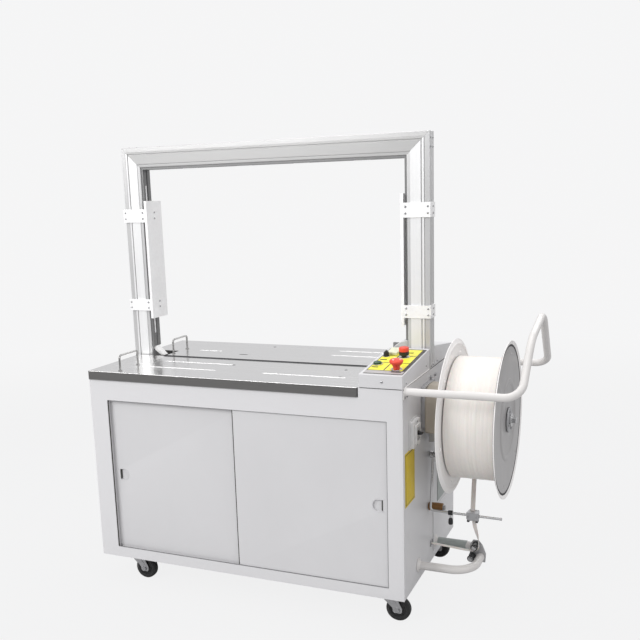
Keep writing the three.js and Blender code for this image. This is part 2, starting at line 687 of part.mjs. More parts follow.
const SHAFT = { x: 470, z: 540 };
const MOTOR = { x: 640, z: 190 };
const DRIVE_Y = 180;

function buildDrive() {
  const frame = join(
    box(380, 560, 205, 215, 430, 654.6),
    box(380, 560, 345, 355, 430, 654.6),
    box(380, 560, 205, 355, 420, 431),
  );
  const bores = [
    rod('y', 12.4, 190, 370, [SHAFT.x, SHAFT.z], 20),
    rod('y', 6.4, 190, 370, [410, 630], 16),
  ];
  add('sealing_head_frame', cut(frame, ...bores), steel);

  const cams = [];
  for (let i = 0; i < 4; i += 1) {
    const throwTo = [SHAFT.x + 8 * Math.cos(i * 1.6), SHAFT.z + 8 * Math.sin(i * 1.6)];
    cams.push(rod('y', 38, 228 + i * 28, 244 + i * 28, throwTo));
  }
  const wheel = rod('y', 62, DRIVE_Y - 10, DRIVE_Y + 10, [SHAFT.x, SHAFT.z], 32);
  add('cam_shaft', join(rod('y', 12, DRIVE_Y - 14, 362, [SHAFT.x, SHAFT.z]), wheel, ...cams), steel);
  const feed = join(rod('y', 6, 202, 362, [410, 630], 16), rod('y', 19, 262, 312, [410, 630], 24));
  add('feed_roller', feed, beltRubber);

  const motor = join(
    rod('y', 62, 214, 400, [MOTOR.x, MOTOR.z], 24),
    box(MOTOR.x - 70, MOTOR.x + 70, 230, 380, CAB_BOTTOM + 4 + GAP, CAB_BOTTOM + 14),
    box(MOTOR.x - 20, MOTOR.x + 20, 240, 370, CAB_BOTTOM + 10, MOTOR.z),
  );
  add('drive_motor', cut(motor, rod('y', 9.4, 210, 240, [MOTOR.x, MOTOR.z], 16)), motorPaint);
  const pulley = join(
    rod('y', 9, DRIVE_Y - 12, 236, [MOTOR.x, MOTOR.z], 16),
    rod('y', 31, DRIVE_Y - 10, DRIVE_Y + 10, [MOTOR.x, MOTOR.z], 24),
  );
  add('motor_pulley', pulley, steel);
  add('drive_belt', beltLoop(62 + 1.5, 31 + 1.2, 4), beltRubber);
}

// An open belt round the two pulleys, as the difference of two rounded outlines.
function beltLoop(bigR, smallR, thick) {
  const across = new THREE.Vector2(MOTOR.x - SHAFT.x, MOTOR.z - SHAFT.z);
  const heading = across.angle();
  const lean = Math.acos((bigR - smallR) / across.length());
  const outline = (grow) => {
    const points = [];
    const arcs = [
      [SHAFT, bigR + grow, heading + lean, 2 * Math.PI - 2 * lean],
      [MOTOR, smallR + grow, heading - lean, 2 * lean],
    ];
    for (const [hub, radius, start, sweep] of arcs) {
      for (let i = 0; i <= 14; i += 1) {
        const angle = start + (sweep * i) / 14;
        points.push([hub.x + radius * Math.cos(angle), hub.z + radius * Math.sin(angle)]);
      }
    }
    return points;
  };
  const width = 8;
  const outer = prism('y', outline(thick), DRIVE_Y - width, DRIVE_Y + width);
  return cut(outer, prism('y', outline(0), DRIVE_Y - width - 1, DRIVE_Y + width + 1));
}

function buildStrapBox() {
  const outer = box(20, 330, 120, 560, CAB_BOTTOM + 4 + GAP, 520);
  const hollow = box(24, 326, 124, 556, CAB_BOTTOM + 9, 600);
  add('strap_pool_box', cut(outer, hollow), paint);
}

buildCabinet();
buildDoors();
buildTable();
buildConsole();
buildArch();
buildGuards();
buildReel();
buildHandles();
buildDancer();
buildBreaker();
buildCasters();
buildDrive();
buildStrapBox();

const assembly = new THREE.Group();
assembly.add(machine);
assembly.updateMatrixWorld(true);

export default assembly;
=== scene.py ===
"""Looks for the arch strapping machine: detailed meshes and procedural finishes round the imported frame.
Shapes are written in layout millimetres, which is how the CAD source lays the machine out: X = 0 at the
inner left side of the arch, Y = 0 at the front of the table, Z = 0 on the floor."""

import math

import bmesh
import bpy
from mathutils import Matrix, Vector


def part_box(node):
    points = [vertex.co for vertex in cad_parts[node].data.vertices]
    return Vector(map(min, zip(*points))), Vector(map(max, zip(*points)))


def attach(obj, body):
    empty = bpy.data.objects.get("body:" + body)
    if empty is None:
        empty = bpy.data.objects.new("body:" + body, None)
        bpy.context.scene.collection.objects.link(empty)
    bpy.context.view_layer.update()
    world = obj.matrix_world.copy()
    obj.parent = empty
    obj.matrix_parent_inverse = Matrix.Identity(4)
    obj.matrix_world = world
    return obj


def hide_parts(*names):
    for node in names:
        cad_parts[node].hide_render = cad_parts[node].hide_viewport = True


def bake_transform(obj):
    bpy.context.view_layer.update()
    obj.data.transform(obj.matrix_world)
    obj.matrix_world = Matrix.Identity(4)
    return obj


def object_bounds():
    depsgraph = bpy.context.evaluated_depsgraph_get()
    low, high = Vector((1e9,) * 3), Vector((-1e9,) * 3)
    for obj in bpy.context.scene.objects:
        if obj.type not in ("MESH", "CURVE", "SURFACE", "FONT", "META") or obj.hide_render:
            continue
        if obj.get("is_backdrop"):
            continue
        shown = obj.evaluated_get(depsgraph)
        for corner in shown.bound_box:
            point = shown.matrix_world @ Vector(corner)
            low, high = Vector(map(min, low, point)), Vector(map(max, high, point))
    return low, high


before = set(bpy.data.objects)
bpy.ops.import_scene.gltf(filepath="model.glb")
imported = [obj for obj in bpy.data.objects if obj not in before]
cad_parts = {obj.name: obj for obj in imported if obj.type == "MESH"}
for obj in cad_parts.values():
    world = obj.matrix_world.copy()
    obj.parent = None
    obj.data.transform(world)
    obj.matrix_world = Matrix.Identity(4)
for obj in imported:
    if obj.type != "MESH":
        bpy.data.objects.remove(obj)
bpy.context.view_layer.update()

# ---------------------------------------------------------------- layout to frame
FRAME_CORNER = Vector((-50, 4, 87))  # lowest corner of cabinet_front_frame, in layout millimetres
MM = 0.001
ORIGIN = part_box("cabinet_front_frame")[0] - FRAME_CORNER * MM
LAYOUT = Matrix.Translation(ORIGIN) @ Matrix.Scale(MM, 4)
ROOT = "machine"


# ---------------------------------------------------------------- finishes
def feed_socket(tree, socket, value):
    """Links a node's socket, or sets it where the value is a plain one."""
    if isinstance(value, bpy.types.NodeSocket):
        tree.links.new(value, socket)
    else:
        socket.default_value = value


def add_node(tree, kind, settings=None, **inputs):
    made = tree.nodes.new(kind)
    for key, value in (settings or {}).items():
        setattr(made, key, value)
    for key, value in inputs.items():
        feed_socket(tree, made.inputs[key.replace("_", " ")], value)
    return made


class Finish:
    """A node-based material. Texture coordinates are the piece's own, in metres."""

    def __init__(self, name, **constants):
        self.material = bpy.data.materials.new(name)
        self.material.use_nodes = True
        self.tree = self.material.node_tree
        self.shader = self.tree.nodes["Principled BSDF"]
        for key, value in constants.items():
            self.shader.inputs[key.replace("_", " ")].default_value = value
        self.coords = self.node("ShaderNodeTexCoord").outputs["Object"]

    def node(self, kind, settings=None, **inputs):
        return add_node(self.tree, kind, settings, **inputs)

    def noise(self, scale, detail=3.0, rough=0.5):
        spread = self.node("ShaderNodeMapping", Vector=self.coords, Scale=scale)
        made = self.node(
            "ShaderNodeTexNoise", Vector=spread.outputs[0], Scale=1.0, Detail=detail, Roughness=rough
        )
        return made.outputs[0]

    def span(self, value, low, high, start=0.3, end=0.7):
        limits = {"From_Min": start, "From_Max": end, "To_Min": low, "To_Max": high}
        return self.node("ShaderNodeMapRange", Value=value, **limits).outputs[0]

    def maths(self, operation, a, b):
        made = self.node("ShaderNodeMath", {"operation": operation})
        for socket, value in zip(made.inputs, (a, b)):
            feed_socket(self.tree, socket, value)
        return made.outputs[0]

    def colours(self, factor, a, b):
        made = self.node("ShaderNodeMix", {"data_type": "RGBA"})
        self.tree.links.new(factor, made.inputs[0])
        for socket, value in zip(made.inputs[6:8], (a, b)):
            plain = isinstance(value, tuple)
            feed_socket(self.tree, socket, (*value, 1.0) if plain else value)
        return made.outputs[2]

    def bump(self, height, depth, strength=1.0):
        return self.node("ShaderNodeBump", Height=height, Distance=depth, Strength=strength).outputs[0]

    def edge_mask(self, low=0.53, high=0.62):
        """0 on flats, 1 on the sharpest outer edges."""
        pointed = self.node("ShaderNodeNewGeometry").outputs["Pointiness"]
        return self.span(pointed, 0.0, 1.0, low, high)

    def set(self, **sockets):
        for key, value in sockets.items():
            self.tree.links.new(value, self.shader.inputs[key.replace("_", " ")])
        return self.material


def shade(colour, factor):
    return tuple(c * factor for c in colour)


def painted(name, colour, rough=0.42, peel=0.00004):
    """Powder coat or enamel: orange peel, faint clouding, handling marks that vary the gloss."""
    f = Finish(name, Metallic=0.0, Coat_Weight=0.12, Coat_Roughness=0.25, IOR=1.48)
    clouds = f.span(f.noise((2.3, 2.3, 1.7), 4.0, 0.6), 0.0, 1.0)
    colour_out = f.colours(clouds, shade(colour, 0.94), colour)
    edge = f.colours(f.edge_mask(), colour_out, shade(colour, 1.06))
    smears = f.span(f.noise((9, 9, 4), 5.0, 0.7), rough - 0.05, rough + 0.07)
    grain = f.noise((620, 620, 620), 2.0)
    return f.set(Base_Color=edge, Roughness=smears, Normal=f.bump(grain, peel))


def brushed(name, colour, along, rough=(0.2, 0.36), metallic=1.0, depth=0.00002, scratches=0.25, dark=0.86):
    """Ground or rolled metal with its grain along one axis (0, 1 or 2)."""
    f = Finish(name, Metallic=metallic, IOR=1.5)
    fine = [850.0, 850.0, 850.0]
    wide = [150.0, 150.0, 150.0]
    fine[along] = 5.0
    wide[along] = 1.3
    lines = f.noise(fine, 2.0, 0.6)
    bands = f.noise(wide, 3.0, 0.65)
    tone = f.maths("MULTIPLY", f.span(bands, 0.0, 1.0, 0.25, 0.75), f.span(lines, 0.55, 1.0))
    stains = f.span(f.noise((3.1, 3.7, 3.3), 4.0, 0.62), 0.0, 1.0, 0.35, 0.7)
    body = f.colours(tone, shade(colour, dark), colour)
    body = f.colours(f.maths("MULTIPLY", stains, 0.35), body, shade(colour, 0.9))
    gloss = f.span(f.maths("ADD", bands, f.maths("MULTIPLY", stains, scratches)), rough[0], rough[1], 0.3, 0.9)
    return f.set(Base_Color=body, Roughness=gloss, Normal=f.bump(f.maths("ADD", lines, bands), depth))


def plated(name, colour, rough=(0.3, 0.46), metallic=0.85):
    """Zinc or nickel plating on sheet: a soft spangle and a lighter colour on the sharpest edges."""
    f = Finish(name, Metallic=metallic)
    flakes = f.node("ShaderNodeTexVoronoi", Vector=f.coords, Scale=95.0).outputs["Distance"]
    clouds = f.noise((14, 14, 14), 4.0, 0.6)
    body = f.colours(f.span(flakes, 0.0, 1.0, 0.1, 0.8), shade(colour, 0.93), colour)
    body = f.colours(f.edge_mask(), body, shade(colour, 1.1))
    gloss = f.span(f.maths("ADD", f.maths("MULTIPLY", flakes, 0.4), clouds), rough[0], rough[1], 0.4, 0.95)
    return f.set(Base_Color=body, Roughness=gloss, Normal=f.bump(f.noise((420, 420, 420), 2.0), 0.00002))


def moulded(name, colour, rough=0.35, texture=0.00003, edge=1.25, sub=0.0):
    """Moulded plastic: fine spark texture, a lighter colour on the sharpest edges."""
    f = Finish(name, Metallic=0.0, IOR=1.49, Subsurface_Weight=sub, Subsurface_Scale=0.004)
    clouds = f.span(f.noise((30, 30, 30), 3.0), 0.0, 1.0)
    body = f.colours(clouds, shade(colour, 0.9), colour)
    body = f.colours(f.maths("MULTIPLY", f.edge_mask(0.52, 0.66), 0.5), body, shade(colour, edge))
    gloss = f.span(f.noise((55, 55, 55), 4.0, 0.65), rough - 0.06, rough + 0.1)
    return f.set(Base_Color=body, Roughness=gloss, Normal=f.bump(f.noise((1500, 1500, 1500), 1.0), texture))


def rubber(name, colour, rough=0.72, dust=(0.16, 0.155, 0.15)):
    """Tyre or belt rubber with patches of floor dust."""
    f = Finish(name, Metallic=0.0, IOR=1.46, Sheen_Weight=0.15)
    patches = f.span(f.noise((22, 22, 22), 5.0, 0.7), 0.0, 0.55, 0.5, 0.8)
    body = f.colours(patches, colour, dust)
    gloss = f.span(f.noise((60, 60, 60), 3.0), rough - 0.1, rough + 0.1)
    return f.set(Base_Color=body, Roughness=gloss, Normal=f.bump(f.noise((800, 800, 800), 3.0), 0.00008))


def embossed_strap(name, colour):
    """Polypropylene strap: a pressed diamond pattern across the band and long drawing lines."""
    f = Finish(name, Metallic=0.0, IOR=1.49, Subsurface_Weight=0.08, Subsurface_Scale=0.003)
    x, y, z = f.node("ShaderNodeSeparateXYZ", Vector=f.coords).outputs
    around = f.maths("MULTIPLY", f.maths("ARCTAN2", y, f.maths("SUBTRACT", z, 0.587)), 0.17)
    pitch = 2 * math.pi / 0.0021
    rising = f.maths("SINE", f.maths("MULTIPLY", f.maths("ADD", around, x), pitch), 0.0)
    falling = f.maths("SINE", f.maths("MULTIPLY", f.maths("SUBTRACT", around, x), pitch), 0.0)
    knurl = f.maths("MAXIMUM", rising, falling)
    drawn = f.noise((160, 8, 8), 3.0, 0.6)
    body = f.colours(f.span(drawn, 0.0, 1.0), shade(colour, 0.93), colour)
    gloss = f.span(drawn, 0.36 - 0.05, 0.36 + 0.1)
    return f.set(Base_Color=body, Roughness=gloss, Normal=f.bump(knurl, 0.00005, 0.6))


WHITE = (0.655, 0.65, 0.66)
FINISH = {
    "paint": painted("cabinet_powder_coat", WHITE),
    "paint_inside": painted("cabinet_inside_coat", shade(WHITE, 0.9), 0.5),
    "tube": painted("tube_enamel", (0.70, 0.68, 0.665), 0.32, 0.00002),
    # Both reel flanges are one pressed part in one enamel: the dark copy is painted shade and the bright copy
    # painted light. The bright copy also makes the painted highlights on the flange rims and on the console
    # seam's top strip.
    "flange": painted("flange_painted_shade_enamel", (0.39, 0.38, 0.38), 0.36, 0.00003),
    "flange_painted_light": painted("flange_painted_light_enamel", (0.92, 0.90, 0.89), 0.36, 0.00003),
    "cream": painted("brake_cream_enamel", (0.45, 0.40, 0.33), 0.45),
    # Grey of the side service covers; on the hoop's far arm the same grey is painted shade.
    "grey_cover_and_arm_shade": painted("grey_service_cover_and_arm_shade", (0.34, 0.37, 0.36), 0.45),
    "motor": painted("motor_hammer_enamel", (0.20, 0.245, 0.28), 0.4, 0.00012),
    "table": brushed("table_stainless", (0.93, 0.925, 0.92), 0, (0.14, 0.3), dark=0.93),
    # The apron is the table top's stainless, darkened on its turned-down faces as painted shade and painted
    # reflection.
    "apron": brushed("apron_stainless_painted_shade", (0.165, 0.162, 0.159), 0, (0.3, 0.45), 0.55),
    # One anodised extrusion for legs and beam: the legs' front copy is lighter as painted light, and both beam
    # copies are darker than the legs' as painted shade.
    "alu_upright_front_painted_light": brushed("arch_upright_front_painted_light", (0.93, 0.93, 0.93), 2, (0.3, 0.45), 0.35, dark=0.95),
    "alu_grey_z": brushed("arch_grey_upright", (0.66, 0.66, 0.66), 2, (0.3, 0.45), 0.5, dark=0.93),
    "alu_beam_front_painted_shade": brushed("arch_beam_front_painted_shade", (0.49, 0.488, 0.484), 0, (0.3, 0.45), 0.4, dark=0.95),
    "alu_grey_x": brushed("arch_grey_beam", (0.59, 0.588, 0.585), 0, (0.3, 0.45), 0.5, dark=0.94),
    "track": brushed("track_steel_dark", (0.26, 0.26, 0.26), 2, (0.3, 0.5), 0.75),
    "bright": brushed("turned_steel", (0.68, 0.68, 0.685), 0, (0.16, 0.3)),
    "wire": brushed("polished_wire", (0.40, 0.395, 0.39), 1, (0.12, 0.22)),
    "bolt": plated("plated_fastener", (0.42, 0.42, 0.43), (0.25, 0.4)),
    "zinc": plated("plated_sheet", (0.97, 0.965, 0.965), (0.34, 0.5), 0.45),
    "zinc_dark": plated("plated_fork", (0.46, 0.46, 0.47), (0.3, 0.46), 0.75),
    "dark": plated("dark_fastener", (0.05, 0.05, 0.052), (0.4, 0.55), 0.5),
    "yellow": moulded("panel_yellow_film", (0.98, 0.90, 0.06), 0.4, 0.00001, 1.02),
    # The side plate's yellow is darker than the panel's: partly its own print, partly painted shade.
    "label": moulded("side_plate_yellow_print_and_shade", (0.70, 0.51, 0.02), 0.5, 0.00001, 1.02),
    "film_dark": moulded("panel_dark_film", (0.035, 0.034, 0.03), 0.42, 0.00001),
    # Grey for painted shadow strips round the door opening.
    "grey_shadow_strip": moulded("grey_shadow_strip", (0.20, 0.20, 0.205), 0.5, 0.00001),
    "film_grey": moulded("panel_grey_film", (0.44, 0.42, 0.42), 0.4, 0.00001),
    "cream_lens": moulded("panel_cream_window", (0.80, 0.80, 0.60), 0.3, 0.00001),
    "red": moulded("button_red", (0.82, 0.075, 0.04), 0.3, 0.00002, 1.2),
    "green": moulded("button_green", (0.02, 0.075, 0.035), 0.3, 0.00002),
    "black": moulded("moulded_black", (0.016, 0.016, 0.018), 0.36, 0.00004, 2.2),
    "white": moulded("moulded_white", (0.78, 0.775, 0.77), 0.35, 0.00002, 1.03),
    "amber": moulded("amber_polyurethane", (0.24, 0.115, 0.03), 0.5, 0.00006, 1.3, 0.1),
    "tyre": rubber("caster_tyre", (0.014, 0.014, 0.015)),
    "belt": rubber("drive_rubber", (0.012, 0.012, 0.012), 0.65, (0.05, 0.05, 0.05)),
    "strap": embossed_strap("polypropylene_strap", (0.84, 0.80, 0.755)),
}


# ---------------------------------------------------------------- mesh building
def arc(cx, cy, radius, start, end, steps):
    """Points on an arc, in degrees, both ends included."""
    angles = [math.radians(start + (end - start) * i / steps) for i in range(steps + 1)]
    return [polar((cx, cy), radius, a) for a in angles]


def polar(centre, radius, angle):
    """A point on a circle; the angle is in radians."""
    return centre[0] + radius * math.cos(angle), centre[1] + radius * math.sin(angle)


def skin(bm, rings, closed=False, capped=True):
    """Quads from each ring of vertices to the next, with a face over each open end."""
    for a, b in zip(rings, rings[1:] + rings[:1] if closed else rings[1:]):
        for k in range(len(a)):
            j = (k + 1) % len(a)
            bm.faces.new((a[k], a[j], b[j], b[k]))
    if capped:
        bm.faces.new(rings[0])
        bm.faces.new(rings[-1])


def round_box(x0, x1, y0, y1, radius):
    """A rectangle with rounded corners, anticlockwise."""
    corners = [(x1 - radius, y0 + radius, -90), (x1 - radius, y1 - radius, 0),
               (x0 + radius, y1 - radius, 90), (x0 + radius, y0 + radius, 180)]
    return [p for cx, cy, a in corners for p in arc(cx, cy, radius, a, a + 90, 6)]


def rounded(corners, radius, steps=8):
    """A route of straight runs whose corners are arcs."""
    points = [Vector(c) for c in corners]
    radii = radius if isinstance(radius, (list, tuple)) else [radius] * (len(points) - 2)
    route = [points[0]]
    for i in range(1, len(points) - 1):
        back = (points[i - 1] - points[i]).normalized()
        ahead = (points[i + 1] - points[i]).normalized()
        half = back.angle(ahead) / 2
        start = points[i] + back * radii[i - 1] / math.tan(half)
        end = points[i] + ahead * radii[i - 1] / math.tan(half)
        centre = points[i] + (back + ahead).normalized() * radii[i - 1] / math.sin(half)
        a, b = start - centre, end - centre
        sweep = a.angle(b)
        for k in range(steps + 1):
            t = sweep * k / steps
            route.append(centre + (a * math.sin(sweep - t) + b * math.sin(t)) / math.sin(sweep))
    route.append(points[-1])
    return route


def axis_frame(axis, centre):
    """Matrix that takes local (u, v, along) to layout for a shape lying along an axis."""
    a, b = centre
    rows = {
        "x": ((0, 0, 1, 0), (1, 0, 0, a), (0, 1, 0, b), (0, 0, 0, 1)),
        "y": ((1, 0, 0, a), (0, 0, 1, 0), (0, 1, 0, b), (0, 0, 0, 1)),
        "z": ((1, 0, 0, a), (0, 1, 0, b), (0, 0, 1, 0), (0, 0, 0, 1)),
    }
    return Matrix(rows[axis])


class Shape:
    """A mesh in the making, in layout millimetres. Each call adds a closed body; finish is a material
    index."""

    def __init__(self, tilt=None):
        self.bm = bmesh.new()
        self.tilt = tilt

    def take(self, bm, finish=0, bevel=0.0, segments=2, sharp=40.0):
        bmesh.ops.recalc_face_normals(bm, faces=bm.faces)
        if bevel:
            limit = math.radians(sharp)
            edges = [e for e in bm.edges if len(e.link_faces) == 2 and e.calc_face_angle(0) > limit]
            bmesh.ops.bevel(bm, geom=edges, offset=bevel, segments=segments, profile=0.5, affect="EDGES",
                            clamp_overlap=True)
        for face in bm.faces:
            face.material_index = finish
        if self.tilt is not None:
            bmesh.ops.transform(bm, matrix=self.tilt, verts=bm.verts)
        return self.absorb(bm)

    def absorb(self, bm):
        mesh = bpy.data.meshes.new("part")
        bm.to_mesh(mesh)
        bm.free()
        self.bm.from_mesh(mesh)
        bpy.data.meshes.remove(mesh)
        return self

    def box(self, x0, x1, y0, y1, z0, z1, finish=0, bevel=0.8, segments=2):
        bm = bmesh.new()
        bmesh.ops.create_cube(bm, size=1.0)
        size = Matrix.Diagonal((x1 - x0, y1 - y0, z1 - z0, 1))
        middle = Matrix.Translation(((x0 + x1) / 2, (y0 + y1) / 2, (z0 + z1) / 2))
        bmesh.ops.transform(bm, matrix=middle @ size, verts=bm.verts)
        return self.take(bm, finish, bevel, segments)

    def lathe(self, axis, profile, centre, finish=0, sides=48):
        """profile is [along, radius] points; a first or last radius of 0 closes on the axis."""
        bm = bmesh.new()
        rings = []
        for along, radius in profile:
            if radius < 1e-6:
                rings.append([bm.verts.new((0, 0, along))])
                continue
            turn = [2 * math.pi * i / sides for i in range(sides)]
            rings.append([bm.verts.new((radius * math.cos(t), radius * math.sin(t), along)) for t in turn])
        for a, b in zip(rings, rings[1:]):
            for i in range(sides):
                j = (i + 1) % sides
                if len(a) == 1 and len(b) == 1:
                    break
                if len(a) == 1:
                    bm.faces.new((a[0], b[i], b[j]))
                elif len(b) == 1:
                    bm.faces.new((a[i], a[j], b[0]))
                else:
                    bm.faces.new((a[i], a[j], b[j], b[i]))
        bmesh.ops.remove_doubles(bm, verts=bm.verts, dist=1e-5)
        bmesh.ops.transform(bm, matrix=axis_frame(axis, centre), verts=bm.verts)
        return self.take(bm, finish)

    def rod(self, axis, radius, start, end, centre, finish=0, sides=40, bevel=0.6):
        b = min(bevel, radius * 0.45, abs(end - start) * 0.45)
        low = [(start, 0), (start, radius - b), (start + b * 0.3, radius - b * 0.3), (start + b, radius)]
        high = [(end - b, radius), (end - b * 0.3, radius - b * 0.3), (end, radius - b), (end, 0)]
        return self.lathe(axis, low + high, centre, finish, sides)

    def ring(self, axis, outer, inner, start, end, centre, finish=0, sides=48, bevel=0.5):
        b = min(bevel, (outer - inner) * 0.3, abs(end - start) * 0.3)
        profile = [(start + b, inner), (start, inner + b), (start, outer - b), (start + b, outer),
                   (end - b, outer), (end, outer - b), (end, inner + b), (end - b, inner), (start + b, inner)]
        return self.lathe(axis, profile, centre, finish, sides)

    def hexagon(self, axis, flats, start, end, centre, finish=0, turn=0.0):
        radius = flats / math.sqrt(3)
        points = [(radius * math.cos(turn + math.pi * i / 3), radius * math.sin(turn + math.pi * i / 3))
                  for i in range(6)]
        return self.prism(axis, points, start, end, finish, 0.5, centre=centre)

    def prism(self, axis, outline, start, end, finish=0, bevel=0.8, segments=2, centre=(0, 0), sharp=40.0):
        bm = bmesh.new()
        low = [bm.verts.new((u, v, start)) for u, v in outline]
        high = [bm.verts.new((u, v, end)) for u, v in outline]
        bm.faces.new(low)
        bm.faces.new(high)
        skin(bm, [low, high], capped=False)
        bmesh.ops.transform(bm, matrix=axis_frame(axis, centre), verts=bm.verts)
        return self.take(bm, finish, bevel, segments, sharp)

    def sweep(self, route, radius, finish=0, sides=20):
        """A round bar along a route."""
        bm = bmesh.new()
        points = [Vector(p) for p in route]
        rings = []
        up = None
        for i, p in enumerate(points):
            ahead = (points[min(i + 1, len(points) - 1)] - points[max(i - 1, 0)]).normalized()
            if up is None:
                up = ahead.orthogonal().normalized()
            up = (up - ahead * up.dot(ahead)).normalized()
            side = ahead.cross(up)
            ring = []
            for k in range(sides):
                t = 2 * math.pi * k / sides
                ring.append(bm.verts.new(p + side * radius * math.cos(t) + up * radius * math.sin(t)))
            rings.append(ring)
        skin(bm, rings)
        return self.take(bm, finish)

    def bead(self, start, end, centre, wide, high):
        """A long low rib lying on a face along X: a capsule squashed to its height."""
        half = wide / 2
        profile = [(start, 0)]
        profile += [(start + half - half * math.cos(t), half * math.sin(t)) for t in (0.5, 1.0, 1.571)]
        profile += [(end - half + half * math.cos(t), half * math.sin(t)) for t in (1.571, 1.0, 0.5)]
        profile.append((end, 0))
        other = Shape()
        other.lathe("x", profile, (0, 0), 0, 16)
        low_rib = Matrix.Translation((0, *centre)) @ Matrix.Diagonal((1, 1, 2 * high / wide, 1))
        bmesh.ops.transform(other.bm, matrix=low_rib, verts=other.bm.verts)
        return self.take(other.bm)

    def screw(self, at, normal, radius=4.0, finish=0, cross=True):
        """A pan head with a cross recess, or a hexagon bolt on its washer."""
        head = Shape()
        if cross:
            dome = [(-0.4, 0), (-0.4, radius), (0.5, radius), (1.6, radius * 0.86), (2.3, radius * 0.5),
                    (2.5, 0)]
            head.lathe("z", dome, (0, 0), finish, 20)
            arm, half = radius * 0.52, radius * 0.13
            cutter = Shape().box(-arm, arm, -half, half, 1.2, 4, bevel=0)
            head.subtract(cutter.box(-half, half, -arm, arm, 1.2, 4, bevel=0))
        else:
            head.rod("z", radius * 1.35, -0.4, 1.0, (0, 0), finish, 28, 0.3)
            head.hexagon("z", radius * 1.8, 0.9, radius * 0.95, (0, 0), finish, 0.3)
        turn = Vector((0, 0, 1)).rotation_difference(Vector(normal)).to_matrix().to_4x4()
        bmesh.ops.transform(head.bm, matrix=Matrix.Translation(at) @ turn, verts=head.bm.verts)
        for face in head.bm.faces:
            face.material_index = finish
        return self.absorb(head.bm)

    def subtract(self, cutter):
        """Cuts another shape away. The cut faces keep this shape's first finish."""
        made = []
        for shape in (self, cutter):
            mesh = bpy.data.meshes.new("part")
            shape.bm.to_mesh(mesh)
            made.append(bpy.data.objects.new("part", mesh))
            bpy.context.scene.collection.objects.link(made[-1])
        change = made[0].modifiers.new("cut", "BOOLEAN")
        change.object = made[1]
        change.operation = "DIFFERENCE"
        change.solver = "EXACT"
        change.use_self = True
        bpy.context.view_layer.update()
        result = bpy.data.meshes.new_from_object(made[0].evaluated_get(bpy.context.evaluated_depsgraph_get()))
        self.bm.clear()
        self.bm.from_mesh(result)
        bpy.data.meshes.remove(result)
        for obj in made:
            mesh = obj.data
            bpy.data.objects.remove(obj)
            bpy.data.meshes.remove(mesh)
        return self

    def piece(self, name, body, finishes, slot, angle=32.0):
        """Makes the finished object, in the frame, and hands it to the body it rides on. A piece with a CAD
        node's name replaces that node."""
        bmesh.ops.transform(self.bm, matrix=LAYOUT, verts=self.bm.verts)
        mesh = bpy.data.meshes.new(name)
        self.bm.to_mesh(mesh)
        self.bm.free()
        for key in ([finishes] if isinstance(finishes, str) else finishes):
            mesh.materials.append(FINISH[key])
        mesh.polygons.foreach_set("use_smooth", [True] * len(mesh.polygons))
        mesh.set_sharp_from_angle(angle=math.radians(angle))
        obj = bpy.data.objects.new(name, mesh)
        bpy.context.scene.collection.objects.link(obj)
        even = obj.modifiers.new("even_normals", "WEIGHTED_NORMAL")
        even.keep_sharp = True
        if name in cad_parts:
            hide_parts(name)
        if body:
            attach(obj, body)
        return obj


def dress(node, finish, bevel=0.8):
    """Keeps a CAD node whose shape is right: rounds its edges and gives it its finish."""
    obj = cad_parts[node]
    mesh = obj.data
    mesh.materials.clear()
    mesh.materials.append(FINISH[finish])
    if "custom_normal" in mesh.attributes:
        mesh.attributes.remove(mesh.attributes["custom_normal"])
    mesh.polygons.foreach_set("use_smooth", [True] * len(mesh.polygons))
    weld = obj.modifiers.new("weld", "WELD")
    weld.merge_threshold = 1e-5
    flat = obj.modifiers.new("flat_faces", "DECIMATE")
    flat.decimate_type = "DISSOLVE"
    flat.angle_limit = math.radians(0.5)
    round_edges = obj.modifiers.new("round_edges", "BEVEL")
    round_edges.width = bevel * MM
    round_edges.segments = 2
    round_edges.limit_method = "ANGLE"
    round_edges.angle_limit = math.radians(35)
    round_edges.harden_normals = True
    return obj


# ---------------------------------------------------------------- cabinet
for node in ("cabinet_front_frame", "cabinet_left_panel", "cabinet_right_panel", "cabinet_rear_panel"):
    dress(node, "paint", 1.2)
dress("cabinet_floor", "paint_inside", 1.0)
dress("table_frame", "paint_inside", 1.0)
dress("slot_channel", "dark", 0.5)
dress("console_cover", "paint", 1.4)
dress("rear_cover", "paint", 1.4)
dress("strap_pool_box", "paint_inside", 0.9)
dress("sealing_head_frame", "bright", 1.0)


DOOR_LOW, DOOR_HIGH, DOOR_THICK = 112.0, 624.5, 7.5
DOOR_SHEET, DOOR_LIP = 1.5, 10
PULL_Z = 371.0


def pull_outline(x, z, way, inset):
    """A D-shaped finger pull: its straight side faces the near stile (way is -1 for left, 1 for right)."""
    wide, tall = 18 - inset, 20 - inset
    bow = []
    for step in range(-90, 91, 12):
        a = math.radians(step)
        bow.append((x - way * wide * math.cos(a), z + tall * math.sin(a)))
    return bow + [(x + way * wide, z + tall), (x + way * wide, z - tall)]


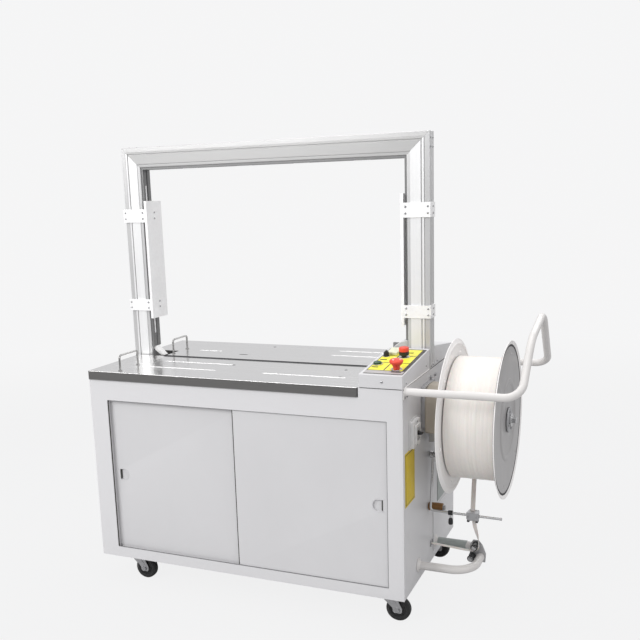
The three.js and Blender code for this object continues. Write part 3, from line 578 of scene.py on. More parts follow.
def door(name, body, x0, x1, y0, pull_x):
    """A folded sheet door: rounded edges, a return behind, and a flush dished finger pull."""
    y1, z, s = y0 + DOOR_THICK, PULL_Z, DOOR_SHEET
    low, high = DOOR_LOW + s, DOOR_HIGH - s
    way = 1 if pull_x > (x0 + x1) / 2 else -1
    leaf = Shape().box(x0, x1, y0, y1, DOOR_LOW, DOOR_HIGH, 0, 1.4, 3)
    leaf.subtract(Shape().box(x0 + s, x1 - s, y0 + s, y1 + 5, low, high, 0, 0))
    leaf.subtract(Shape().prism("y", pull_outline(pull_x, z, way, 0), y0 - 5, y1, 0, 0))
    for edge in (low, high - DOOR_LIP):
        leaf.box(x0 + s, x1 - s, y1 - s, y1, edge, edge + DOOR_LIP, 0, 0.3)
    for edge in (x0 + s, x1 - s - DOOR_LIP):
        leaf.box(edge, edge + DOOR_LIP, y1 - s, y1, low + DOOR_LIP, high - DOOR_LIP, 0, 0.3)
    leaf.piece(name, body, "paint", "white_paint")
    cup = Shape().prism("y", pull_outline(pull_x, z, way, 0.2), y0 - 0.7, y1 - 0.8, 0, 0.5, 3)
    cup.subtract(Shape().prism("y", pull_outline(pull_x, z, way, 2.2), y0 - 4, y1 - 2.2, 0, 0))
    # A dark strip in the pull's recess along its straight side: painted shadow in the recess.
    low, high = sorted((pull_x + way * 11, pull_x + way * 11 + way * 4.6))
    cup.box(low, high, y0 + s, y1 - 2, z - 15, z + 15, 1, 0.4)
    cup.piece(name + "_finger_pull", body, ["paint", "film_dark"], "white_plastic")


door("left_door", "left_sliding_door", 3, 490, 18.5, 48)
door("right_door", "right_sliding_door", 464, 963, 8.5, 922)

# Dark and grey strips just behind the door opening's edges, standing for the shadow the face sheet casts on
# the doors: painted shadow.
opening_shadow_strips = Shape()
opening_shadow_strips.box(13.1, 952.9, 5.2, 8.2, 620.4, 621.9, 1, 0.2)
opening_shadow_strips.box(13.1, 952.9, 5.2, 8.2, 121.1, 122.8, 1, 0.2)
opening_shadow_strips.box(13.1, 15.4, 5.2, 8.2, 122.6, 620.4, 0, 0.2)
opening_shadow_strips.box(951.0, 952.9, 5.2, 8.2, 122.6, 620.4, 1, 0.2)
opening_shadow_strips.piece("door_opening_shadow_strips", ROOT, ["film_dark", "grey_shadow_strip"], "black_plastic")
# A dark strip behind the right door's leading edge: painted shadow of that edge on the left door.
edge_shadow_strip = Shape().box(457.5, 465.5, 16.1, 17.7, 114, 622, 0, 0.2)
edge_shadow_strip.piece("right_door_edge_shadow", "right_sliding_door", "film_dark", "black_plastic")

trim = Shape()
trim.box(11.2, 13.2, 6.6, 17.6, 121, 622, 0, 0.4)
for x in (-49.4, 997.8):
    trim.box(x, x + 1.6, 8, 30, 90, 640, 0, 0.3)
trim.piece("cabinet_front_returns", ROOT, "paint", "white_paint")

fixings = Shape()
for x, y, z in ((1000, 300, 690), (1000, 354, 687)):
    fixings.screw((x, y, z), (1, 0, 0), 4.6, 0, False)
for y in (40, 300, 560):
    fixings.screw((-50, y, 640), (-1, 0, 0), 3.6)
    fixings.screw((-50, y, 110), (-1, 0, 0), 3.6)
for y in (330, 560):
    for z in (118, 246):
        fixings.screw((1000, y, z), (1, 0, 0), 3.2)
for x in (-30, 230, 490, 750, 980):
    for z in (104, 668):
        fixings.screw((x, 600, z), (0, 1, 0), 3.6)
fixings.screw((940, 4, 735), (0, -1, 0), 3.8)
for y, z in ((40, 733), (250, 741)):
    fixings.screw((872, y, z), (-1, 0, 0), 3.2)
    fixings.screw((1000, y, z - 6), (1, 0, 0), 3.2)
for y in (380, 570):
    fixings.screw((1000, y, 727), (1, 0, 0), 3.2)
fixings.piece("cabinet_fasteners", ROOT, "bolt", "bright_steel")

hatch = Shape()
hatch.box(1000.2, 1002, 322, 572, 112, 252, 0, 0.7)
hatch.box(1000.2, 1001.6, 376, 596, 262, 540, 1, 0.6)
hatch.piece("side_service_covers", ROOT, ["paint", "grey_cover_and_arm_shade"], "white_paint")

Shape().box(560, 960, 600, 601.6, 140, 560, 0, 0.6).piece("rear_service_cover", ROOT, "paint", "white_paint")
fixings = Shape()
for x in (576, 944):
    for z in (156, 350, 544):
        fixings.screw((x, 601.6, z), (0, 1, 0), 3.6)
fixings.piece("rear_cover_fasteners", ROOT, "bolt", "bright_steel")

# ---------------------------------------------------------------- table
TABLE_Z = 716.0
APRON = 28.0
TABLE_SHEET = 2.0


def table_plate(name, body, outline, beads, holes):
    """A folded stainless plate: rounded bends, open beneath, pressed beads and cut holes."""
    bm = bmesh.new()
    low = [bm.verts.new((u, v, TABLE_Z - APRON)) for u, v in outline]
    high = [bm.verts.new((u, v, TABLE_Z)) for u, v in outline]
    top = bm.faces.new(high)
    skin(bm, [low, high], capped=False)
    bmesh.ops.recalc_face_normals(bm, faces=bm.faces)
    if top.normal.z < 0:
        bmesh.ops.reverse_faces(bm, faces=bm.faces)
    upright = [e for e in bm.edges if len(e.link_faces) == 2 and abs(e.verts[0].co.z - e.verts[1].co.z) > 1]
    bmesh.ops.bevel(bm, geom=upright, offset=4.0, segments=4, profile=0.5, affect="EDGES")
    rim = [e for e in bm.edges if len(e.link_faces) == 2 and e.calc_face_angle(0) > 1.2
           and min(v.co.z for v in e.verts) > TABLE_Z - 0.01]
    bmesh.ops.bevel(bm, geom=rim, offset=1.4, segments=4, profile=0.5, affect="EDGES")
    back = bmesh.ops.duplicate(bm, geom=list(bm.faces))["geom"]
    bm.normal_update()
    for v in [g for g in back if isinstance(g, bmesh.types.BMVert)]:
        v.co -= v.normal * TABLE_SHEET
    bmesh.ops.reverse_faces(bm, faces=[g for g in back if isinstance(g, bmesh.types.BMFace)])
    open_edges = [e for e in bm.edges if len(e.link_faces) == 1]
    bmesh.ops.bridge_loops(bm, edges=open_edges)
    shape = Shape()
    shape.take(bm)
    for cutter in holes:
        shape.subtract(cutter)
    for face in shape.bm.faces:
        face.normal_update()
        middle = face.calc_center_median()
        # The slot's walls take the dark finish: painted shade inside the slot.
        if middle.x > 56 and 281 < middle.y < 305 and face.normal.z < 0.9:
            face.material_index = 2
        else:
            # Faces turned down from the top take the darkened stainless copy: painted shade.
            face.material_index = 0 if face.normal.z > 0.35 else 1
    for x0, x1, y in beads:
        shape.bead(x0, x1, (y, TABLE_Z - 0.1), 5.0, 1.3)
    return shape.piece(name, body, ["table", "apron", "dark"], "stainless")


TABLE_LEFT, TABLE_RIGHT, TABLE_REAR = -51, 868, 583
SLOT_FRONT, SLOT_BACK = 287, 300
NOTCH_X, NOTCH_Y = 56, 386  # corner cut away round the left leg
GRIP_Z = 765
front_outline = [(TABLE_LEFT, 0), (TABLE_RIGHT, 0), (TABLE_RIGHT, SLOT_FRONT), (TABLE_LEFT, SLOT_FRONT)]
table_plate("front_table_plate", "front_table", front_outline,
            [(105, 355, 112), (519, 792, 112), (111, 367, 206)], [])
rear_outline = [(NOTCH_X, SLOT_BACK), (TABLE_RIGHT, SLOT_BACK), (TABLE_RIGHT, TABLE_REAR),
                (TABLE_LEFT, TABLE_REAR), (TABLE_LEFT, NOTCH_Y), (NOTCH_X, NOTCH_Y)]
finger_slot = Shape().prism("z", round_box(304, 336, 370, 378, 3.9), 700, 730, 0, 0)
table_plate("rear_table_plate", "rear_table", rear_outline,
            [(124, 213, 415), (620, 800, 436), (620, 800, 515)], [finger_slot])

for name, body, spots in (
    ("front_table_screws", "front_table", ((773, 119), (755, 218), (374, 201))),
    ("rear_table_screws", "rear_table", ((365, 532), (860, 550))),
):
    tops = Shape()
    for x, y in spots:
        head = [(-0.2, 0), (-0.2, 5.0), (0.25, 4.8), (0.3, 2.6), (-0.15, 2.4), (-0.15, 0)]
        tops.lathe("z", [(TABLE_Z + dz, r) for dz, r in head], (x, y), 0, 24)
    tops.piece(name, body, "dark", "bright_steel")

for name, body, x, y0, y1 in (
    ("front_table_handle", "front_table", 57, 26, 125),
    ("rear_table_handle", "rear_table", 66, 332, 425),
):
    grip = Shape()
    low = TABLE_Z + 0.4
    grip.sweep(rounded([(x, y0, low), (x, y0, GRIP_Z), (x, y1, GRIP_Z), (x, y1, low)], 10), 3.2, 0, 18)
    for y in (y0, y1):
        grip.ring("z", 6.4, 3.2, TABLE_Z + 0.1, TABLE_Z + 2.6, (x, y), 0, 28)
    grip.piece(name, body, "wire", "stainless")

slot_floor = Shape().box(305, 335, 370.6, 377.4, 712.6, 715, 0, 0.2)
slot_floor.piece("finger_slot_blank", "rear_table", "dark", "black_plastic")
# A dark strip along the slot's front edge on the table top widens the slot's line: painted shade.
slot_shade_strip = Shape().box(60, 866, 276.5, 286, 716.05, 716.8, 0, 0.2)
slot_shade_strip.piece("slot_edge_shade_strip", "front_table", "dark", "black_plastic")
# Dark blocks in the gap between the table's end and the console: painted shade of the gap.
end_gap_shade = Shape().box(868.4, 871.7, 6, 288, 692, 714, 0, 0.3)
end_gap_shade.box(868.4, 871.7, 348, 580, 692, 714, 0, 0.3)
end_gap_shade.piece("table_end_gap_shade", ROOT, "film_dark", "black_plastic")

# ---------------------------------------------------------------- console and controls
CONSOLE_FRONT, CONSOLE_LOW, CONSOLE_BACK, CONSOLE_HIGH = 4.0, 754.0, 291.5, 780.0
SLOPE = math.atan((CONSOLE_HIGH - CONSOLE_LOW) / (CONSOLE_BACK - CONSOLE_FRONT))
DESK = Matrix.Translation((0, CONSOLE_FRONT, CONSOLE_LOW)) @ Matrix.Rotation(SLOPE, 4, "X")
CONTROLS = {"estop": (967, 55), "feed": (952, 180), "start": (898, 94), "mode": (897, 181)}

desk = Shape(DESK)
desk.box(882, 996, 12, 268, 0.4, 1.6, 1, 0.5)
desk.box(882.6, 995.4, 12.6, 38.6, 1.5, 1.95, 2, 0.1)
rows = [40.4, 119, 190, 262.6]
columns = [883.2, 932.5, 988.0]
for y0, y1 in zip(rows, rows[1:]):
    for x0, x1 in zip(columns, columns[1:]):
        desk.box(x0 + 1.8, x1 - 1.8, y0 + 3, y1 - 3, 1.5, 2.0, 0, 0.15)
desk.prism("z", round_box(893, 925, 196, 252, 2.5), 1.9, 10.5, 3, 1.6, 3)
dashes = ((958, 988, 27.5), (888, 908, 66), (941, 967, 102), (888, 910, 142), (940, 968, 222))
for x0, x1, y0 in dashes:
    desk.prism("z", round_box(x0, x1, y0, y0 + 7, 1.5), 1.8, 2.5, 1, 0.15)
desk.piece("control_plate", ROOT, ["yellow", "film_dark", "film_grey", "cream_lens"], "panel_yellow")

# Thin dark strips in the console's seams with the side panel and the front are painted shade of the gaps; the
# bright strip along the side's top edge is a painted highlight.
lip = Shape()
lip.box(999.4, 1000.2, 8, 590, 714.4, 716.2, 0, 0.1)
lip.box(875, 998, 3.75, 4.3, 714.6, 716, 0, 0.1)
lip.box(999.4, 1001.2, 8, 290, 716.2, 718.4, 1, 0.3)
lip.piece("console_seam_shade_and_highlight", ROOT, ["film_dark", "flange_painted_light"], "white_paint")

bezels = Shape(DESK)
for key, outer, inner, high in (
    ("estop", 16.5, 12, 4.5), ("feed", 16.5, 8.4, 3.8), ("start", 15, 12.4, 5.5), ("mode", 11, 4.4, 3.0),
):
    bezels.ring("z", outer, inner, 1.6, high, CONTROLS[key], 0, 40)
bezels.piece("control_bezels", ROOT, "bright", "bright_steel")

x, y = CONTROLS["estop"]
cap = Shape(DESK)
mushroom = [(-12, 0), (-12, 7.6), (5, 7.6), (6, 9.5), (12, 10.5), (16, 13), (21, 17.6), (25, 19.6), (27, 20),
            (29.5, 19.2), (31.8, 16.5), (33.4, 11.5), (34.2, 5), (34.4, 0)]
cap.lathe("z", mushroom, (x, y), 0, 56)
arrow = ((9.5, -0.28), (12.5, -0.4), (15.5, 0.12), (12.2, 0.34), (9.5, 0.3))
for i in range(3):
    a = 2 * math.pi * i / 3
    cap.prism("z", [polar((x, y), r, a + t) for r, t in arrow], 30.5, 33.6, 1, 0.3)
cap.piece("estop_button", "estop", ["red", "white"], "red_plastic")

x, y = CONTROLS["feed"]
cap = Shape(DESK)
collar = [(-12, 0), (-12, 7.6), (8.2, 7.6), (8.3, 12.4), (9.6, 14.2), (10.4, 14.8), (19, 14.9), (19.6, 14),
          (20, 13.8), (20, 0)]
cap.lathe("z", collar, (x, y), 0, 48)
crown = [(20.2, 0), (20.2, 14), (21, 14.8), (30, 14.7), (32, 13.4), (32.8, 11), (33, 0)]
cap.lathe("z", crown, (x, y), 1, 48)
cap.piece("feed_button", "feed_switch", ["black", "red"], "black_plastic")

x, y = CONTROLS["start"]
cap = Shape(DESK)
cap.rod("z", 7.6, -12, 6, (x, y), 0)
dish = [(5.6, 0), (5.6, 11.2), (6.4, 11.8), (9.4, 11.8), (10.6, 11), (10.2, 8.6), (9.6, 0)]
cap.lathe("z", dish, (x, y), 0, 48)
cap.piece("start_button", "start_switch", "green", "green_plastic")

x, y = CONTROLS["mode"]
knob = Shape(DESK)
knob.rod("z", 3.8, -12, 4, (x, y), 0)
knob.lathe("z", [(3.4, 0), (3.4, 8.6), (5, 9), (7, 8.2), (15, 7.6), (16, 6.8), (16, 0)], (x, y), 0, 40)
knob.prism("z", round_box(x - 2.2, x + 2.2, y - 8.2, y + 8.2, 2.0), 15.5, 20, 0, 0.6)
knob.box(x - 0.5, x + 0.5, y + 2, y + 7.6, 19.8, 20.3, 1, 0.1)
knob.piece("mode_selector", "selector", ["black", "white"], "black_plastic")

# ---------------------------------------------------------------- arch
ARCH_WIDTH, ARCH_TOP, BEAM_HEIGHT, LEG_WIDTH = 930.0, 1356.0, 66.0, 70.0
ARCH_FRONT = 296.0
RISE = BEAM_HEIGHT / LEG_WIDTH
# (distance from the outer side, depth from the front, finish of the strip that ends here)
SECTION = [
    (0, 4.0, 1), (0.8, 3.2, 1), (14.8, 3.0, 1), (15.6, 3.6, 1), (16.4, 3.6, 1), (17, 0.8, 1), (17.8, 0, 0),
    (22.2, 0, 0), (23, 0.8, 0), (23.4, 3.4, 1), (26.2, 3.4, 1), (26.6, 0.8, 1), (27.4, 0.2, 0),
    (58.6, 0.2, 0), (59.6, 0.8, 0), (60, 2.4, 1), (61, 2.6, 1), (68, 2.6, 1), (69.4, 3.2, 1), (70, 4.2, 1),
    (70, 14, 1), (68.5, 15, 1), (68.5, 22, 1), (70, 23, 1), (70, 49, 1), (69, 50, 1), (45, 50, 1),
    (44, 46, 1), (26, 46, 1), (25, 50, 1), (1, 50, 1), (0, 49, 1), (0, 31, 1), (1.4, 30, 1), (1.4, 22, 1),
    (0, 21, 1),
]


def extrusion(name, start, end, finishes):
    """start and end give the layout point of a section point at each end of the length."""
    bm = bmesh.new()
    low = [bm.verts.new(start(u, v)) for u, v, _ in SECTION]
    high = [bm.verts.new(end(u, v)) for u, v, _ in SECTION]
    skin(bm, [low, high])
    shape = Shape().take(bm)
    marks = [SECTION[(i + 1) % len(SECTION)][2] for i in range(len(SECTION))]
    for face, mark in zip(shape.bm.faces, marks + [1, 1]):
        face.material_index = mark
    return shape.piece(name, ROOT, finishes, "aluminium", 25.0)


MITRE = 0.25
for side, way, foot in (("left", 1, 687.4), ("right", -1, 716.4)):
    inner = 0.0 if side == "left" else ARCH_WIDTH
    extrusion(
        f"arch_{side}_leg",
        lambda u, v, inner=inner, way=way, foot=foot: (inner + way * (u - LEG_WIDTH), ARCH_FRONT + v, foot),
        lambda u, v, inner=inner, way=way: (
            inner + way * (u - LEG_WIDTH), ARCH_FRONT + v, ARCH_TOP + (LEG_WIDTH - u) * RISE - MITRE),
        ["alu_upright_front_painted_light", "alu_grey_z"],
    )
extrusion(
    "arch_top_beam",
    lambda u, v: (u - LEG_WIDTH + MITRE, ARCH_FRONT + v, ARCH_TOP + BEAM_HEIGHT - u * RISE),
    lambda u, v: (ARCH_WIDTH + LEG_WIDTH - u - MITRE, ARCH_FRONT + v, ARCH_TOP + BEAM_HEIGHT - u * RISE),
    ["alu_beam_front_painted_shade", "alu_grey_x"],
)

track = Shape()
profile = [(303, 0.4), (345, 0.4), (345, 7.4), (343.5, 7.9), (327, 7.9), (326, 5.4), (322, 5.4), (321, 7.9),
           (304.5, 7.9), (303, 7.4)]
bm = bmesh.new()
rings = []
for x_of, z_of in (
    (lambda d: d, lambda d: 745), (lambda d: d, lambda d: ARCH_TOP - d),
    (lambda d: ARCH_WIDTH - d, lambda d: ARCH_TOP - d), (lambda d: ARCH_WIDTH - d, lambda d: 802),
):
    rings.append([bm.verts.new((x_of(d), y, z_of(d))) for y, d in profile])
skin(bm, rings)
track.take(bm)
for x0 in (7.6, ARCH_WIDTH - 9.2):
    for z0, z1 in ((1245, 1296), (792, 843), (930, 970), (1060, 1100), (1150, 1190)):
        track.box(x0, x0 + 1.6, 312, 317, z0, z1, 1, 0.3)
for x in (160, 360, 560, 760):
    track.box(x, x + 52, 312, 317, ARCH_TOP - 9.2, ARCH_TOP - 7.6, 1, 0.3)
track.piece("strap_track", ROOT, ["track", "zinc"], "track_steel")

chute = Shape().prism("y", [(0.4, 744.6), (8, 744.6), (40, 713), (28, 713), (0.4, 733)], 311, 337, 0, 1.2, 3)
chute.piece("left_strap_chute", ROOT, "white", "white_plastic")
w = ARCH_WIDTH
hump = [(0.4, 801.6), (8, 801.6), (20, 798), (32, 791.5), (43, 783), (50, 774), (53, 762), (53, 700),
        (0.4, 700)]
chute = Shape().prism("y", [(w - d, z) for d, z in hump], 298, 344, 0, 1.6, 3)
chute.box(w - 53.6, w - 20, 316, 326, 703, 790, 1, 0.5)
chute.piece("right_strap_chute", ROOT, ["alu_grey_z", "track"], "zinc")

for node in ("left_guard", "right_guard"):
    dress(node, "zinc", 0.9)
bolts = Shape()
for side, way in (("left", 1), ("right", -1)):
    inner = 0.0 if side == "left" else ARCH_WIDTH
    for z in (882, 901, 1186, 1206):
        bolts.screw((inner + way * 3, 291.5, z), (0, -1, 0), 3.6)
        bolts.screw((inner - way * 66, 291.5, z), (0, -1, 0), 3.0)
        bolts.screw((inner - way * 73.4, 322, z), (-way, 0, 0), 3.4)
        bolts.screw((inner + way * 19, 338, z), (way, 0, 0), 3.6)
for x, way in ((-70, -1), (1000, 1)):
    for y in (308, 334):
        for z in (1378, 1404):
            bolts.screw((x, y, z), (way, 0, 0), 3.6)
for x in (-52, -22, 952, 982):
    bolts.screw((x, 321, 1422), (0, 0, 1), 3.6)
for y in (309, 333):
    bolts.screw((1000, y, 724), (1, 0, 0), 4.0)
bolts.piece("arch_fasteners", ROOT, "bolt", "bright_steel")

# ---------------------------------------------------------------- reel and its brake
REEL = (250.0, 587.0)
REEL_IN, REEL_OUT, ROLL_R, CORE_R = 1087.0, 1246.0, 182.0, 100.0


def pressed_disc(name, start, way, finish, hub):
    """A pressed flange: flared rim in the bright copy as a painted highlight, a dark groove in it, a raised
    rib, a dished middle and holes.
    """
    bore = 10.6
    outline = [
        (0, bore), (0, 44), (-1.6, 50), (-1.6, 92), (0, 98), (0, 102), (2.6, 106), (3.4, 110), (3.4, 114),
        (2.6, 118), (0, 122), (0, 214.5), (-1.8, 216), (-1.8, 219), (0.6, 221), (3.0, 228.5), (3.8, 230.6),
        (3.2, 231.9),
        (1.8, 231.6), (1.6, 229.6), (-0.9, 222.4), (-3.2, 219.6), (-3.2, 215.4), (-1.4, 213.6), (-1.4, 122.6),
        (1.2, 118.4), (1.9, 114), (1.9, 110), (1.2, 105.6), (-1.4, 101.4), (-1.4, 98.6), (-3.0, 92.6),
        (-3.0, 49.4), (-1.4, 43.6), (-1.4, bore),
    ]
    profile = [(start + dx * way, r) for dx, r in outline] + [(start, bore)]
    disc = Shape().lathe("x", profile, REEL, 0, 120)
    holes = Shape()
    for i in range(6):
        holes.lathe("x", [(start - 12, 0), (start - 12, 4.5), (start + 12, 4.5), (start + 12, 0)],
                    polar(REEL, 196, math.radians(15 + 60 * i)), 0, 16)
    disc.subtract(holes)
    for face in disc.bm.faces:
        middle = face.calc_center_median()
        radius = math.hypot(middle.y - REEL[0], middle.z - REEL[1])
        if 214.6 < radius < 221 and (middle.x - start) * way > -1.9:
            face.material_index = 1
        # Rim faces take the bright copy: a painted highlight.
        elif radius > 221:
            face.material_index = 2
    if hub:
        disc.ring("x", CORE_R - 0.6, CORE_R - 3.6, start + 1.2, REEL_OUT - 4, REEL, 0, 96)
    return disc.piece(name, "reel", [finish, "dark", "flange_painted_light"], "flange_paint")


# The inner flange in the bright copy is painted light, and the outer one in the dark copy is painted shade.
pressed_disc("reel_inner_flange", REEL_IN + 3, -1, "flange_painted_light", True)
pressed_disc("reel_outer_flange", REEL_OUT - 1.4, 1, "flange", False)

BANDS, TURN_STEPS, BAND_STEPS = 13, 160, 8
roll = bmesh.new()
x0, x1 = REEL_IN + 8.0, REEL_OUT - 8.0
stations = BANDS * BAND_STEPS
grid = []
for i in range(TURN_STEPS):
    turn = i / TURN_STEPS
    ring = []
    for k in range(stations + 1):
        across = k / BAND_STEPS
        phase = (across + turn) % 1.0
        band = math.floor(across + turn)
        groove = 0.22 * math.exp(-((min(phase, 1 - phase)) / 0.07) ** 2)
        crown = 0.12 * math.sin(math.pi * min(max(phase, 0.0), 1.0)) ** 0.6
        lift = 0.22 * math.sin(band * 2.4 + 1.0) * math.sin(math.pi * min(k, stations - k) / stations)
        edge = 1.6 * math.exp(-min(k, stations - k) / 1.2)
        radius = ROLL_R - 0.9 - groove + crown + lift - edge
        ring.append(roll.verts.new((x0 + (x1 - x0) * k / stations, *polar(REEL, radius, 2 * math.pi * turn))))
    core = [roll.verts.new((x, *polar(REEL, CORE_R, 2 * math.pi * turn))) for x in (x1, x0)]
    grid.append(ring + core)
skin(roll, grid, closed=True, capped=False)
Shape().take(roll).piece("strap_roll", "reel", "strap", "strap", 50)

nut = Shape()
plate = [(0.4, 10.6), (0.4, 36), (1.6, 37.6), (4.4, 37.6), (5.6, 36.4), (5.8, 22), (5.8, 10.6), (0.4, 10.6)]
nut.lathe("x", [(REEL_OUT + d, r) for d, r in plate], REEL, 0, 64)
nut.ring("x", 20, 10.6, REEL_OUT + 5.6, REEL_OUT + 11.6, REEL, 1, 48, 1.0)
for i in range(4):
    spot = polar(REEL, 28.5, math.radians(20 + 90 * i))
    nut.screw((REEL_OUT + 5.6, *spot), (1, 0, 0), 3.4, 2, False)
nut.piece("reel_nut", "reel", ["zinc_dark", "bright", "bolt"], "bright_steel")

shaft = [(1011, 0), (1011, 9.6), (1078.4, 9.8), (1078.4, 15.6), (1079, 16), (1085.6, 16), (1086.4, 15.4),
         (1086.4, 9.8), (1258, 9.8)]
for i in range(6):
    at = 1259 + i * 1.6
    shaft += [(at, 9.8), (at + 0.5, 8.8), (at + 0.9, 8.8), (at + 1.4, 9.8)]
shaft += [(1268.6, 9.4), (1270, 7.8), (1270, 0)]
Shape().lathe("x", shaft, REEL, 0, 48).piece("reel_axle", ROOT, "bright", "bright_steel")

brake = Shape()
arch_outline = [(185, 544), (315, 544), (315, 634)] + arc(265, 634, 50, 0, 90, 10)[1:] \
    + arc(235, 634, 50, 90, 180, 10)[:-1] + [(185, 634)]
brake.prism("x", arch_outline, 1012, 1077, 0, 5, 5, sharp=60)
brake.ring("x", 46, 12, 1000.6, 1013, REEL, 2, 60)
brake.ring("x", 34, 12, 1076.6, 1078, REEL, 2, 60)
for y in (200, 300):
    brake.screw((1077, y, 656), (1, 0, 0), 3.4, 3)
    brake.screw((1077, y, 566), (1, 0, 0), 3.4, 3)
for z in (562, 572, 582):
    brake.box(1030, 1060, 187.2, 188.6, z, z + 4, 2, 0.2)
brake.piece("reel_brake_housing", ROOT, ["cream", "zinc_dark", "black", "bolt"], "cream_paint")
# The plate on the panel behind the housing fills the gap between panel and housing with a dark finish as
# painted shade; the lower block is the housing's bracket.
foot = Shape().prism("x", round_box(190, 310, 556, 684, 6), 1000.2, 1012.6, 0, 1.0)
foot.prism("x", round_box(222, 278, 506, 545, 4), 1014, 1052, 0, 2, 3)
foot.piece("brake_bracket_and_gap_shade", ROOT, "zinc_dark", "zinc")

# ---------------------------------------------------------------- tubes on the right side
handle = Shape()
TUBE_END = 1000.6
HANDLE_FEET = ((20, 708), (548, 700))
front, rear = HANDLE_FEET
route = rounded([(TUBE_END, *front), (1318, *front), (1323, 150, 845), (1323, 365, 888), (1318, *rear),
                 (TUBE_END, *rear)], [48, 120, 95, 44], 14)
handle.sweep(route, 11, 0, 32)
for y, z in HANDLE_FEET:
    plate = round_box(y - 14, y + 20 if y == front[0] else y + 14, z - 22, z + 5, 3)
    handle.prism("x", plate, 1000.3, 1003.8, 0, 0.8)
    weld = [(1003.6, 14.4), (1005.2, 13.2), (1007.6, 11.6), (1010, 10.8), (1003.6, 10.8), (1003.6, 14.4)]
    handle.lathe("x", weld, (y, z), 0, 40)
handle.piece("push_handle", ROOT, "tube", "white_tube")
bolts = Shape()
for y, z in ((12, 692), (34, 692), (539, 684), (557, 684)):
    bolts.screw((1003.8, y, z), (1, 0, 0), 2.8, 0, False)
bolts.piece("handle_bolts", ROOT, "bolt", "bright_steel")

HOOP_FRONT, HOOP_REAR, HOOP_END, HOOP_Z = 150, 345, 1164, 139
GUIDES = {"lower": (1139.5, 141), "upper": (1150, 178)}
hoop = Shape()
route = rounded([(TUBE_END, HOOP_FRONT, HOOP_Z), (HOOP_END, HOOP_FRONT, HOOP_Z),
                 (HOOP_END, HOOP_REAR, HOOP_Z), (TUBE_END, HOOP_REAR, HOOP_Z)], 70, 16)
hoop.sweep(route, 12.5, 0, 32)
collar = [(1000.4, 21), (1002.6, 21), (1003.2, 20.4), (1003.6, 16), (1006, 13.6), (1010, 12), (1000.4, 12),
          (1000.4, 21)]
for y in (HOOP_FRONT, HOOP_REAR):
    hoop.lathe("x", collar, (y, HOOP_Z), 0, 40)
arm = [(1130, 128), (1146, 122), (1179, 122), (1181, 150), (1170, 178), (1158, 192), (1142, 192), (1132, 178)]
hoop.prism("y", arm, 268, 272, 1, 1.0)
for x, z in GUIDES.values():
    hoop.rod("y", 4, 234, 268.5, (x, z), 1, 24)
    hoop.rod("y", 8, 266.4, 268.4, (x, z), 1, 30, 0.3)
    hoop.hexagon("y", 11, 229.5, 234.4, (x, z), 1)
    hoop.hexagon("y", 11, 271.8, 277, (x, z), 1)
# A grey sleeve over the hoop's far arm darkens it: painted shade.
hoop.rod("x", 13.3, 1012, 1106, (HOOP_REAR, HOOP_Z), 2, 32)
hoop.piece("lower_hoop", ROOT, ["tube", "zinc_dark", "grey_cover_and_arm_shade"], "white_tube")
spool_profile = [(238, 4.4), (238, 9.4), (239, 10.4), (240.6, 10.5), (242, 9.4), (244, 8.6), (260, 8.6),
                 (262, 9.4), (263.4, 10.5), (265, 10.4), (266, 9.4), (266, 4.4), (238, 4.4)]
for name, (x, z) in GUIDES.items():
    spool = Shape().lathe("y", spool_profile, (x, z), 0, 48)
    spool.ring("y", 7.2, 4.6, 237.4, 238.6, (x, z), 1, 32, 0.2)
    spool.piece(f"{name}_guide_roller", f"{name}_roller", ["black", "bright"], "black_plastic")

# ---------------------------------------------------------------- dancer arm, strap path and breaker
PIVOT, BEND = (1011, 285, 448), (1012, 251, 279)
KNOB_X, STOP_AT = 1075, (274, 283)
arm = Shape()
arm.sweep(rounded([PIVOT, BEND, (1231, 251, 276)], 10, 10), 4, 0, 22)
arm.rod("x", 6.6, 1000.6, 1018, PIVOT[1:], 0, 32)
coil = []
for i in range(int(4.5 * 20) + 1):
    t = 2 * math.pi * i / 20
    coil.append((1003 + 13 * i / 90, *polar(PIVOT[1:], 9.4, t)))
coil += [(1016.4, 294, 440), (1016.4, 290, 424)]
arm.sweep(coil, 1.5, 0, 10)
arm.hexagon("x", 13, 1017.6, 1022.5, PIVOT[1:], 0)
arm.ring("x", 7.4, 3.9, 1068, 1081, (251, 277.6), 1, 36)
arm.rod("z", 2.6, 258, 272, (KNOB_X, BEND[1]), 0, 16)
knob = [(240.4, 0), (240.4, 5.2), (241.6, 6.6), (245, 7.2), (255, 7.0), (260, 5.0), (261.6, 3.4), (261.6, 0)]
arm.lathe("z", knob, (KNOB_X, BEND[1]), 1, 30)
tip = [(1225, 3.9), (1225, 4.7), (1229, 4.9), (1231.4, 4.2), (1231.6, 0)]
arm.lathe("x", tip, (BEND[1], 276.1), 0, 24)
arm.piece("dancer_arm", "dancer", ["bright", "black"], "bright_steel")

block = Shape()
block.box(1127, 1161, 241, 259.6, 263, 289.4, 0, 1.6, 3)
block.box(1129, 1159, 264.4, 270.6, 262.4, 289.8, 0, 1.0, 2)
for x0 in (1127.4, 1153.6):
    block.box(x0, x0 + 7, 259, 265, 264, 288.6, 0, 0.4)
block.box(1125.6, 1162.6, 239.8, 244.6, 268, 289.4, 0, 0.6)
block.box(1127.4, 1134.6, 240.4, 258, 258.4, 263.4, 1, 0.5)
block.box(1153.4, 1160.6, 240.4, 258, 258.4, 263.4, 1, 0.5)
for x in (1131.5, 1156.5):
    block.screw((x, 239.8, 276.5), (0, -1, 0), 2.4, 2)
    block.screw((x, 270.6, 276), (0, 1, 0), 2.4, 2)
    block.rod("z", 3.4, 258.6, 263.4, (x, 251), 1, 20)
bore = Shape().lathe("x", [(1110, 0), (1110, 4.5), (1180, 4.5), (1180, 0)], (251, 277.3), 0, 28)
block.subtract(bore)
block.piece("guide_block", "dancer", ["zinc_dark", "black", "bolt"], "zinc")

